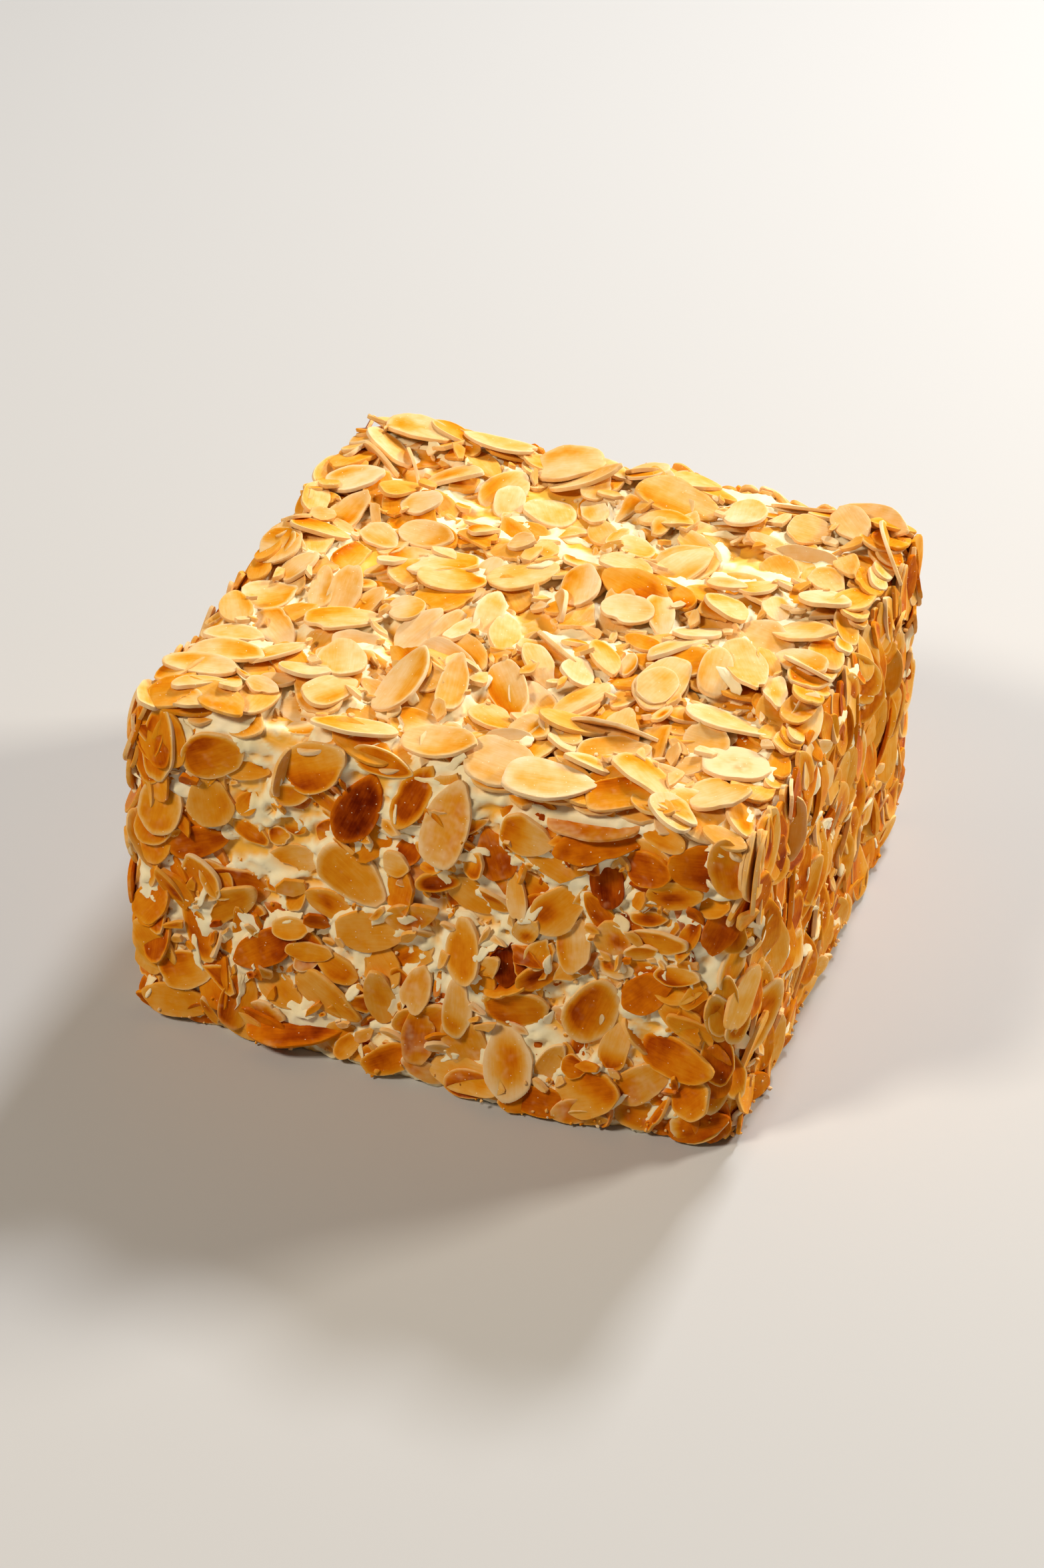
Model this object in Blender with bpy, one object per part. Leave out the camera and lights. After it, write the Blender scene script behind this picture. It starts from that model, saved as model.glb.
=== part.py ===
"""Sans rival cake: an uncut block of buttercream, covered all over with toasted almond slices.

The cake stands on the origin with its front face towards -Y. It is one piece: a slightly uneven
rounded block, with the larger almond slices lying on its top and pressed into its four sides.
Sizes in this file are millimetres; MM turns them into metres.
"""
import math
import random

import bmesh
import bpy
import numpy as np
from mathutils import Matrix, Vector

MM = 0.001

# The buttercream block, without its almonds
WIDTH = 144.0
FRONT = -67.0
BACK = 69.5
HEIGHT = 84.0
EDGE_RADIUS = 4.0
EDGE_SEGMENTS = 3
BLOCK_CUTS = 7

# Hand-made unevenness of the block
FRONT_FLARE = 7.0      # the foot of the front runs out this far, less towards its right end
BACK_BOW = 5.0         # the back face swells out, most to the right of its middle
LEFT_BOW = 3.0         # the left face swells out at half height
CROWN = 1.0            # the top is this much higher in its middle

# Almond slices
SLICE_SIDES = 7
SLICE_THICKNESS = 1.7
SLICE_EDGE = 0.92      # the upper rim is this much smaller than the lower one
SLICE_TAPER = 0.16     # one end of a slice is more pointed than the other
SLICE_SINK = 0.7       # depth by which a slice is pressed into what it lies on
MAX_TILT = 0.30        # steepest slope of a slice against its face
LEAST_HELD = 0.45      # share of a slice that must lie over its face
REST_LEVEL = 90        # a slice rests on the highest tenth of what lies under it, in percent
TABLE_GAP = 0.6        # no slice comes closer to the table than this
OVERHANG = 4.0         # farthest reach of a slice past the side of its face
OVER_TOP = 2.5         # farthest reach of a slice of a side past the top

# Height map of a face, on which its slices come to rest
CELL = 1.0
MAP_MARGIN = 12.0
OFF_FACE = -30.0       # value where the face has ended

# Slices of the front face as (across, up, length, width, turn in degrees), lowest layer first
FRONT_SLICES = (
    (-33, 52, 14, 8, 20), (-67, 60, 17, 11, 80), (-46, 73, 12, 5, 12), (-35, 70, 10, 6, 10),
    (-26, 71, 10, 5, -15), (-34, 34, 10, 6, 15), (-45, 56, 10, 5, -20), (-65, 37, 12, 5, 120),
    (-5, 63, 9, 6, 60), (10, 54, 13, 9, -30), (21, 58, 13, 5, 105), (2, 57, 11, 5, 10),
    (44, 53, 10, 9, 100), (27, 38, 12, 6, 35), (58, 69, 14, 8, 20), (46, 22, 14, 7, 80),
    (-2, 26, 13, 7, 80), (31, 14, 14, 6, 65), (-70, 31, 14, 9, 60), (-72, 19, 15, 10, 135),
    (-47, 11, 17, 9, 75), (-37, 15, 13, 8, -35), (10, 15, 15, 11, 115), (53, 14, 17, 9, 40),
    (-29, 80, 19, 12, 30), (4, 73, 23, 11, 78), (-54, 76, 16, 12, 25), (-67, 77, 20, 9, 88),
    (-55, 63, 13, 11, 100), (-57, 42, 13, 11, 115), (-4, 46, 15, 8, 30), (-14, 38, 18, 11, 12),
    (-58, 51, 16, 8, 20), (-29, 29, 12, 5, 5), (-11, 22, 16, 8, 100), (-1, 14, 17, 8, 85),
    (15, 67, 13, 9, 110), (31, 57, 16, 10, 50), (42, 66, 11, 8, 100), (55, 55, 15, 7, 15),
    (35, 48, 14, 8, 95), (9, 40, 18, 9, 95), (19, 39, 12, 7, 95), (62, 35, 13, 8, -30),
    (-50, 37, 17, 10, 35), (-58, 26, 17, 7, 115), (-40, 27, 19, 9, 38), (-61, 15, 13, 10, 25),
    (-24, 18, 19, 11, -25), (8, 24, 16, 7, 92), (22, 27, 17, 11, 12), (21, 13, 20, 12, 100),
    (65, 13, 13, 10, 50), (53, 40, 17, 9, 50), (23, 75, 13, 10, -10), (52, 74, 12, 9, 10),
    (-5, 77, 18, 8, 68), (-18, 71, 20, 10, 68), (-19, 52, 19, 13, -38), (40, 31, 20, 12, 70),
    (61, 23, 19, 11, -5), (41, 9, 16, 12, 25), (-32, 7, 24, 8, 12), (-62, 6, 19, 9, 2),
    (12, 6, 20, 9, 0), (41, 78, 22, 8, 28),
)

# Slices of the top as (across, away from the front, length, width, turn), lowest layer first
TOP_SLICES = (
    (-52, -9, 16, 6, 105), (-67, -26, 12, 8, 120), (-63, -36, 15, 8, 10), (-46, -49, 9, 6, 20),
    (-29, -12, 9, 8, 40), (-14, -14, 13, 5, 75), (-11, -5, 18, 7, 100), (-54, -57, 10, 5, 100),
    (9, -13, 17, 6, -40), (8, -22, 15, 7, -50), (17, -21, 13, 8, 100), (5, -44, 13, 9, -30),
    (16, -48, 12, 8, -30), (51, -52, 9, 8, -60), (62, -12, 15, 6, -65), (57, -1, 12, 5, -50),
    (-62, 51, 14, 4, -25), (-51, 38, 14, 6, 60), (-49, 20, 12, 8, -30), (-38, 15, 14, 6, 5),
    (-27, 35, 12, 6, 50), (-18, 14, 10, 7, 80), (-68, 10, 14, 8, 60), (-40, 6, 10, 6, 75),
    (48, 55, 8, 6, 0), (15, 49, 15, 7, -5), (6, 39, 12, 5, 95), (45, 30, 12, 8, 60),
    (62, 47, 15, 6, -60), (52, 12, 17, 11, -20), (13, 24, 15, 9, -20), (36, -4, 18, 8, 60),
    (38, 5, 13, 10, 60), (27, 9, 15, 7, -65), (-46, -9, 16, 8, 95), (-60, -4, 12, 7, 60),
    (-63, -15, 14, 11, 40), (-57, -26, 15, 9, -40), (-51, -38, 16, 8, 55), (-24, -16, 15, 8, 65),
    (-13, -26, 17, 6, -15), (-5, -10, 17, 8, 105), (21, -13, 15, 7, -55), (47, -10, 15, 8, 100),
    (71, -17, 15, 8, 100), (53, -34, 11, 10, 0), (22, -47, 15, 8, -50), (14, -61, 19, 13, -10),
    (33, -39, 21, 7, 12), (12, -35, 17, 10, -40), (-44, 35, 11, 8, 20), (-38, 23, 15, 9, -10),
    (-15, 47, 17, 13, 120), (-26, 48, 14, 8, 100), (-42, 50, 17, 8, 5), (-62, 57, 17, 8, -28),
    (-36, 68, 20, 10, 5), (-10, 61, 19, 8, 15), (3, 69, 12, 11, 0), (16, 69, 15, 8, 40),
    (48, 61, 11, 10, 0), (50, 49, 20, 6, 3), (47, 42, 14, 9, -50), (59, 40, 14, 8, -50),
    (62, 28, 14, 11, -30), (12, 35, 10, 9, 30), (1, 27, 15, 10, 110), (20, 6, 13, 10, 20),
    (64, 3, 17, 8, -30), (61, 15, 16, 10, -15), (41, 17, 12, 11, 60), (-42, -20, 19, 12, 30),
    (-35, -37, 14, 12, 110), (-41, -45, 12, 8, 15), (-61, -44, 18, 9, 12), (-64, -52, 19, 8, 5),
    (-33, -49, 15, 9, 60), (-18, -41, 21, 11, 75), (-7, -38, 17, 7, 102), (-10, -51, 11, 9, 0),
    (-22, -60, 20, 10, 22), (-2, -58, 20, 11, -8), (5, -33, 22, 9, -57), (22, -31, 18, 9, 70),
    (37, -19, 20, 11, 80), (53, -6, 23, 10, -58), (55, -26, 20, 12, -5), (62, -40, 16, 14, 20),
    (35, -46, 18, 8, 35), (45, -55, 20, 10, -40), (62, -54, 14, 13, 40), (26, -65, 21, 13, 15),
    (55, -65, 13, 10, -50), (-57, 66, 19, 11, -10), (-16, 67, 19, 14, 10), (-63, 37, 15, 11, 25),
    (-60, 25, 16, 8, 70), (-29, 11, 21, 9, 50), (-24, 4, 17, 12, 20), (-9, 13, 18, 12, 40),
    (-67, 2, 12, 11, 0), (15, 58, 22, 12, -5), (32, 60, 16, 11, 100), (58, 64, 14, 9, -50),
    (25, 33, 20, 9, 65), (6, 12, 15, 10, 100),
)

# Slices of the faces that follow a rule: how many, and the seed of their draw
SIDE_SLICES = {"right": (36, 11), "left": (34, 12), "back": (35, 13)}
SPREAD_TRIES = 30      # places tried for each slice, of which the emptiest is taken
LENGTHS = (12.0, 22.0)
SLENDERNESS = (0.45, 0.62)
TURNS = (35.0, 145.0)  # the long axis stands more upright than flat


def clear_scene():
    for obj in list(bpy.data.objects):
        bpy.data.objects.remove(obj, do_unlink=True)


def new_collection(name):
    collection = bpy.data.collections.new(name)
    bpy.context.scene.collection.children.link(collection)
    return collection


def material(name, colour, roughness):
    made = bpy.data.materials.new(name)
    made.use_nodes = True
    shader = made.node_tree.nodes["Principled BSDF"]
    shader.inputs["Base Color"].default_value = (*colour, 1.0)
    shader.inputs["Roughness"].default_value = roughness
    shader.inputs["Metallic"].default_value = 0.0
    return made


def front_flare(x, z):
    """How far the front face stands out at a place: the foot runs out, except at its right end."""
    foot = max(0.0, 1.0 - z / HEIGHT) ** 2
    along = 1.0 - ((x / (WIDTH / 2) + 0.25) / 1.25) ** 4
    return FRONT_FLARE * foot * max(0.0, along)


def back_bow(x, z):
    u = x / (WIDTH / 2)
    return BACK_BOW * max(0.0, 1.0 - u ** 4) * (1.0 + 0.8 * u) * (0.5 + 0.5 * z / HEIGHT)


def left_bow(z):
    w = min(max(z / HEIGHT, 0.0), 1.0)
    return LEFT_BOW * 4.0 * w * (1.0 - w)


def crown(x, y):
    u = x / (WIDTH / 2)
    v = (y - (FRONT + BACK) / 2) / ((BACK - FRONT) / 2)
    return CROWN * max(0.0, 1.0 - u * u) * max(0.0, 1.0 - v * v)


def settle(point):
    """Move a point of the plain block to its place on the uneven one."""
    x, y, z = point
    forward = (BACK - y) / (BACK - FRONT)
    leftward = (WIDTH / 2 - x) / WIDTH
    new_x = x - leftward * left_bow(z)
    new_y = y - forward * front_flare(x, z) + (1.0 - forward) * back_bow(x, z)
    new_z = z + crown(x, y) * z / HEIGHT
    return Vector((new_x, new_y, new_z))


def make_block(collection):
    """The buttercream block: a cube, cut into a grid, its upper and upright edges rounded."""
    mesh = bpy.data.meshes.new("cake")
    work = bmesh.new()
    bmesh.ops.create_cube(work, size=1.0)
    bmesh.ops.scale(work, verts=work.verts, vec=(WIDTH, BACK - FRONT, HEIGHT))
    bmesh.ops.translate(work, verts=work.verts, vec=(0, (FRONT + BACK) / 2, HEIGHT / 2))
    bmesh.ops.subdivide_edges(work, edges=work.edges, cuts=BLOCK_CUTS, use_grid_fill=True)
    corners = [edge for edge in work.edges if is_rounded(edge)]
    bmesh.ops.bevel(work, geom=corners, offset=EDGE_RADIUS, segments=EDGE_SEGMENTS,
                    profile=0.5, affect="EDGES")
    for vert in work.verts:
        vert.co = settle(vert.co) * MM
    work.to_mesh(mesh)
    work.free()
    block = bpy.data.objects.new("cake", mesh)
    collection.objects.link(block)
    return block


def is_rounded(edge):
    """True for the edges where two faces of the block meet, except round its foot."""
    square = edge.calc_face_angle(0.0) > math.radians(45)
    on_foot = all(vert.co.z < 0.001 for vert in edge.verts)
    return square and not on_foot


class Face:
    """One face of the block, with the height map on which its almond slices come to rest."""

    def __init__(self, origin, across, up, out, spans, swell):
        self.frame = Matrix((across, up, out)).transposed()
        self.origin = Vector(origin)
        self.a, self.b = (np.arange(low - MAP_MARGIN, high + MAP_MARGIN, CELL)
                          for low, high in spans)
        self.spans = spans
        self.reach = (OVERHANG, OVERHANG) if out[2] else (-TABLE_GAP, OVER_TOP)
        self.height = np.array([[self.bare(a, b, swell) for b in self.b] for a in self.a])

    def bare(self, a, b, swell):
        """Height of the bare block: its swell, less the rounding near an edge."""
        inside = [a - self.spans[0][0], self.spans[0][1] - a, self.spans[1][1] - b,
                  b - self.spans[1][0]]
        nearest = min(inside)
        if nearest < 0:
            return OFF_FACE
        bend = max(0.0, EDGE_RADIUS - nearest)
        return swell(a, b) - EDGE_RADIUS + math.sqrt(EDGE_RADIUS ** 2 - bend ** 2)

    def kept_in(self, row):
        """The place of a slice, moved in where it would reach too far past an edge."""
        a, b, length, width, turn = row
        cos, sin = math.cos(math.radians(turn)), math.sin(math.radians(turn))
        half_a = math.hypot(length * cos, width * sin) / 2
        half_b = math.hypot(length * sin, width * cos) / 2
        (left, right), (low, high) = self.spans
        a = min(max(a, left - OVERHANG + half_a), right + OVERHANG - half_a)
        b = min(max(b, low - self.reach[0] + half_b), high + self.reach[1] - half_b)
        return a, b

    def rest(self, row):
        """Let one slice come to rest; gives its matrix in the object's frame, or None."""
        length, width, turn = row[2:]
        a0, b0 = self.kept_in(row)
        grid_a, grid_b = np.meshgrid(self.a - a0, self.b - b0, indexing="ij")
        cos, sin = math.cos(math.radians(turn)), math.sin(math.radians(turn))
        along = (grid_a * cos + grid_b * sin) / (length / 2)
        beside = (grid_b * cos - grid_a * sin) / (width / 2)
        under = along ** 2 + beside ** 2 < 1.0
        held = under & (self.height > OFF_FACE / 2)
        if held.sum() < LEAST_HELD * under.sum():
            return None
        steps = np.column_stack((np.ones(held.sum()), grid_a[held], grid_b[held]))
        level, slope_a, slope_b = np.linalg.lstsq(steps, self.height[held], rcond=None)[0]
        steep = math.hypot(slope_a, slope_b)
        ease = min(1.0, MAX_TILT / max(steep, 1e-6))
        slope_a, slope_b = slope_a * ease, slope_b * ease
        plane = slope_a * grid_a + slope_b * grid_b
        level = np.percentile((self.height - plane)[held], REST_LEVEL) - SLICE_SINK
        upper_side = plane + level + SLICE_THICKNESS
        self.height[under] = np.maximum(self.height, upper_side)[under]
        return self.place(a0, b0, level, slope_a, slope_b, turn)

    def place(self, a0, b0, level, slope_a, slope_b, turn):
        normal = Vector((-slope_a, -slope_b, 1.0)).normalized()
        along = Vector((math.cos(math.radians(turn)), math.sin(math.radians(turn)), 0.0))
        along = (along - normal * along.dot(normal)).normalized()
        beside = normal.cross(along)
        turned = Matrix((along, beside, normal)).transposed()
        spot = self.origin + self.frame @ Vector((a0, b0, level))
        return Matrix.Translation(spot) @ (self.frame @ turned).to_4x4()


def make_faces():
    half = WIDTH / 2
    upright = (0.0, HEIGHT)
    return {
        "front": Face((0, FRONT, 0), (1, 0, 0), (0, 0, 1), (0, -1, 0),
                      ((-half, half), upright), front_flare),
        "top": Face((0, 0, HEIGHT), (1, 0, 0), (0, 1, 0), (0, 0, 1),
                    ((-half, half), (FRONT, BACK + BACK_BOW / 2)), crown),
        "right": Face((half, 0, 0), (0, 1, 0), (0, 0, 1), (1, 0, 0),
                      ((FRONT, BACK), upright), lambda a, b: 0.0),
        "left": Face((-half, 0, 0), (0, -1, 0), (0, 0, 1), (-1, 0, 0),
                     ((-BACK, -FRONT), upright), lambda a, b: left_bow(b)),
        "back": Face((0, BACK, 0), (-1, 0, 0), (0, 0, 1), (0, 1, 0),
                     ((-half, half), upright), lambda a, b: back_bow(-a, b)),
    }


def spread_slices(face, count, seed):
    """Slices of a face by rule: largest first, each in the emptiest of a few drawn places."""
    draw = random.Random(seed)
    (left, right), (low, high) = face.spans
    sizes = sorted((draw.uniform(*LENGTHS) for _ in range(count)), reverse=True)
    rows = []
    for length in sizes:
        places = [(draw.uniform(left, right), draw.uniform(low, high))
                  for _ in range(SPREAD_TRIES)]
        best = max(places, key=lambda p: min([math.dist(p, row[:2]) for row in rows] + [99.0]))
        turn = draw.uniform(*TURNS)
        rows.append((*best, length, length * draw.uniform(*SLENDERNESS), turn))
    return rows


def make_slice(name, length, width, matrix):
    """A slice: a thin faceted oval, more pointed at one end."""
    mesh = bpy.data.meshes.new(name)
    work = bmesh.new()
    bmesh.ops.create_cone(work, cap_ends=True, segments=SLICE_SIDES, radius1=1.0,
                          radius2=SLICE_EDGE, depth=SLICE_THICKNESS)
    for vert in work.verts:
        narrow = 1.0 - SLICE_TAPER * vert.co.x
        vert.co = Vector((vert.co.x * length / 2, vert.co.y * narrow * width / 2,
                          vert.co.z + SLICE_THICKNESS / 2))
    bmesh.ops.transform(work, matrix=matrix, verts=work.verts)
    clear = min(vert.co.z for vert in work.verts) - TABLE_GAP
    if clear < 0:
        bmesh.ops.translate(work, verts=work.verts, vec=(0, 0, -clear))
    bmesh.ops.scale(work, verts=work.verts, vec=(MM, MM, MM))
    work.to_mesh(mesh)
    work.free()
    return bpy.data.objects.new(name, mesh)


def make_slices(collection):
    faces = make_faces()
    rows = {"front": FRONT_SLICES, "top": TOP_SLICES}
    for side, (count, seed) in SIDE_SLICES.items():
        rows[side] = spread_slices(faces[side], count, seed)
    for side, face_rows in rows.items():
        for number, row in enumerate(face_rows):
            matrix = faces[side].rest(row)
            if matrix is not None:
                piece = make_slice(f"slice_{side}_{number}", row[2], row[3], matrix)
                collection.objects.link(piece)


def fuse(block, slices):
    """Join the slices to the block by one Boolean union, and keep its one closed body."""
    union = block.modifiers.new("almonds", "BOOLEAN")
    union.operation = "UNION"
    union.operand_type = "COLLECTION"
    union.collection = slices
    union.solver = "EXACT"
    seen = block.evaluated_get(bpy.context.evaluated_depsgraph_get())
    mesh = bpy.data.meshes.new_from_object(seen)
    block.modifiers.clear()
    block.data = mesh
    for obj in list(slices.objects):
        bpy.data.objects.remove(obj, do_unlink=True)
    bpy.data.collections.remove(slices)
    keep_largest_body(mesh)


def keep_largest_body(mesh):
    """Drop loose scraps, and fill hollows that the union has sealed."""
    work = bmesh.new()
    work.from_mesh(mesh)
    left = set(work.verts)
    bodies = []
    while left:
        body = set()
        front = {left.pop()}
        while front:
            body |= front
            front = {edge.other_vert(vert) for vert in front for edge in vert.link_edges} - body
        left -= body
        bodies.append(body)
    largest = max(bodies, key=len)
    scraps = [vert for body in bodies if body is not largest for vert in body]
    bmesh.ops.delete(work, geom=scraps, context="VERTS")
    bmesh.ops.triangulate(work, faces=work.faces)
    work.to_mesh(mesh)
    work.free()


def main():
    clear_scene()
    cake = new_collection("sans_rival_cake")
    slices = new_collection("almond_slices")
    block = make_block(cake)
    make_slices(slices)
    fuse(block, slices)
    block.data.materials.append(material("toasted_almond", (0.72, 0.42, 0.14), 0.55))


main()
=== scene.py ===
import math
import random
from collections import namedtuple

import bmesh
import bpy
import numpy as np
from mathutils import Matrix, Vector, noise


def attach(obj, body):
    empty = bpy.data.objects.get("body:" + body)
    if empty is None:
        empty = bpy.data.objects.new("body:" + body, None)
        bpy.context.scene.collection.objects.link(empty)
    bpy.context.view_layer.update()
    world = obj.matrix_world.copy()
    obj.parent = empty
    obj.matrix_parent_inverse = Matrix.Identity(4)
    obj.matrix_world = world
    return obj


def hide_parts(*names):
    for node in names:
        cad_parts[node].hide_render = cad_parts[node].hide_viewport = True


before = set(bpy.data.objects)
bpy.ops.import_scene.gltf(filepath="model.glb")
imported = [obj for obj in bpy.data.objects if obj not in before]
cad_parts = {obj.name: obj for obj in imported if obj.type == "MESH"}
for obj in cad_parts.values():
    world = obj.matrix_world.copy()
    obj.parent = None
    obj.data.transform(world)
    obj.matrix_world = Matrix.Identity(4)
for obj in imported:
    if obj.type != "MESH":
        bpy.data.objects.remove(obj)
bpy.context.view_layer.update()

MM = 0.001
FULL_TURN = 6.28  # in radians, for drawn directions


def by_face(front, top, right, left, back=None):
    """A value for each face; the back has that of the left, unless it has its own."""
    back = left if back is None else back
    return {"front": front, "top": top, "right": right, "left": left, "back": back}


# The buttercream block, as in the part's source
WIDTH = 144.0
FRONT = -67.0
BACK = 69.5
HEIGHT = 84.0
EDGE_RADIUS = 4.0
FRONT_FLARE = 7.0
BACK_BOW = 5.0
LEFT_BOW = 3.0
CROWN = 1.0
LATTICE = (0.8, 0.95, 0.75)  # spacing of the cream's mesh along x, y and z

# Form of an almond slice
THICKNESS = 1.05
DISH = (0.02, 0.26)  # how far its middle lies below its rim
RIM = 0.88  # share of the radius at which the rim is highest
TAPER = (0.06, 0.26)  # how much narrower it is towards its point
POINT = (0.0, 0.30)  # and how much more so at its very end
FULLNESS = (0.82, 1.08)  # exponent of its half width, below 1 for one fuller than an oval
NICKED = 0.4  # share of the slices with a piece out of the edge
NICK_DEPTH = (0.06, 0.20)
NICK_WIDTH = (0.12, 0.3)  # in radians
BREAK = (0.0, 0.55)  # where a broken one ends, 0 being its middle and 1 its end
FLAKE_SIDES = (3, 5)
FLAKE_REACH = (0.5, 0.85)  # nearest and farthest side of a flake
GRAIN_SHIFT = (0.0, 400.0)  # shift of its fibres, so that no two slices look the same
CURL = by_face(0.6, 1.0, 0.9, 0.8)  # how strongly slices are curled and twisted

# How a slice comes to rest
SINK = 0.45  # depth by which it is pressed into what it lies on
MAX_TILT = by_face(0.28, 0.30, 0.15, 0.25)  # steepest slope of what it lies on that it follows
EDGE_TILT = 0.60  # the same near an edge of its face
EDGE_ZONE = 4.0  # how near that is
EDGE_CALM = 0.6  # share of the loose tilt that it has there
MOST_STACK = by_face(1.6, 4.0, 2.2, 2.0, 2.2)  # highest that it lies above the bare block
LEAST_HELD = 0.45  # share of it that has to lie over its face
LEAST_CELLS = 6  # and the fewest cells of the height map
REST_LEVEL = 88  # it rests on the highest eighth of what is under it, in percent
TABLE_GAP = 0.3
OVERHANG = 4.0  # farthest reach of a slice past the side of its face
EDGE_OVERHANG = 1.8  # the same for the slices that follow an edge
UNDER_OVERHANG = 0.8  # and for the lower layer
OVER_TOP = 2.0  # farthest reach of a slice of a side past the top
LEANING = 0.36  # a slice narrower than this share of its length stands on its long edge
TRUE_SLENDERNESS = 0.5  # which is the share that its width really has
LEAN_SINK = 0.12  # share of its width by which it is pressed deeper
SHELF_SLOPE = 0.75  # outward tilt of a slice that stands out like a shelf
# Slopes across and up that a slice may have beside those of what it lies on
LOOSE_TILT = by_face(((-0.14, 0.14), (-0.20, 0.08)), ((-0.18, 0.18), (-0.18, 0.18)),
                     ((-0.30, 0.45), (-0.15, 0.10)), ((-0.25, 0.25), (-0.15, 0.10)))

# How slices are toasted, from 0 for not at all to 1
TOAST_SHARE = by_face(1.01, 0.43, 0.92, 0.95, 0.90)  # share of a row's toast that counts
PATCH = by_face((0.12, 0.60), (0.10, 0.50), (0.10, 0.50), (0.10, 0.50))  # more in a brown part
MOST_TOAST = 0.92
RIM_TOAST = (0.15, 0.90)  # share of its toast that the rim of a slice has
EVEN_SHARE = 0.35  # share of the slices that are toasted evenly
SIDED_SHARE = 0.50  # the same for those that are browner to one side
PALEST = 0.1  # a slice toasted less than this is white with cream
WHITE = 0.7  # film of cream on such a slice
# Most film of cream that other slices have on the face and on the rim
FILM = by_face((0.7, 0.4), (0.3, 0.3), (0.2, 0.2), (0.6, 0.4))

# Height map of a face, on which its slices come to rest
CELL = 0.5
MAP_MARGIN = 12.0
OFF_FACE = -30.0  # value where the face has ended
LOWER, UPPER = 1, 2  # marks of the layer that covers a place
NO_CEILING = 99.0
AROUND = 3.0  # how far round a place counts when its hollows are sought

Row = namedtuple("Row", "across up length width turn toast style", defaults=("whole",))

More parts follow.
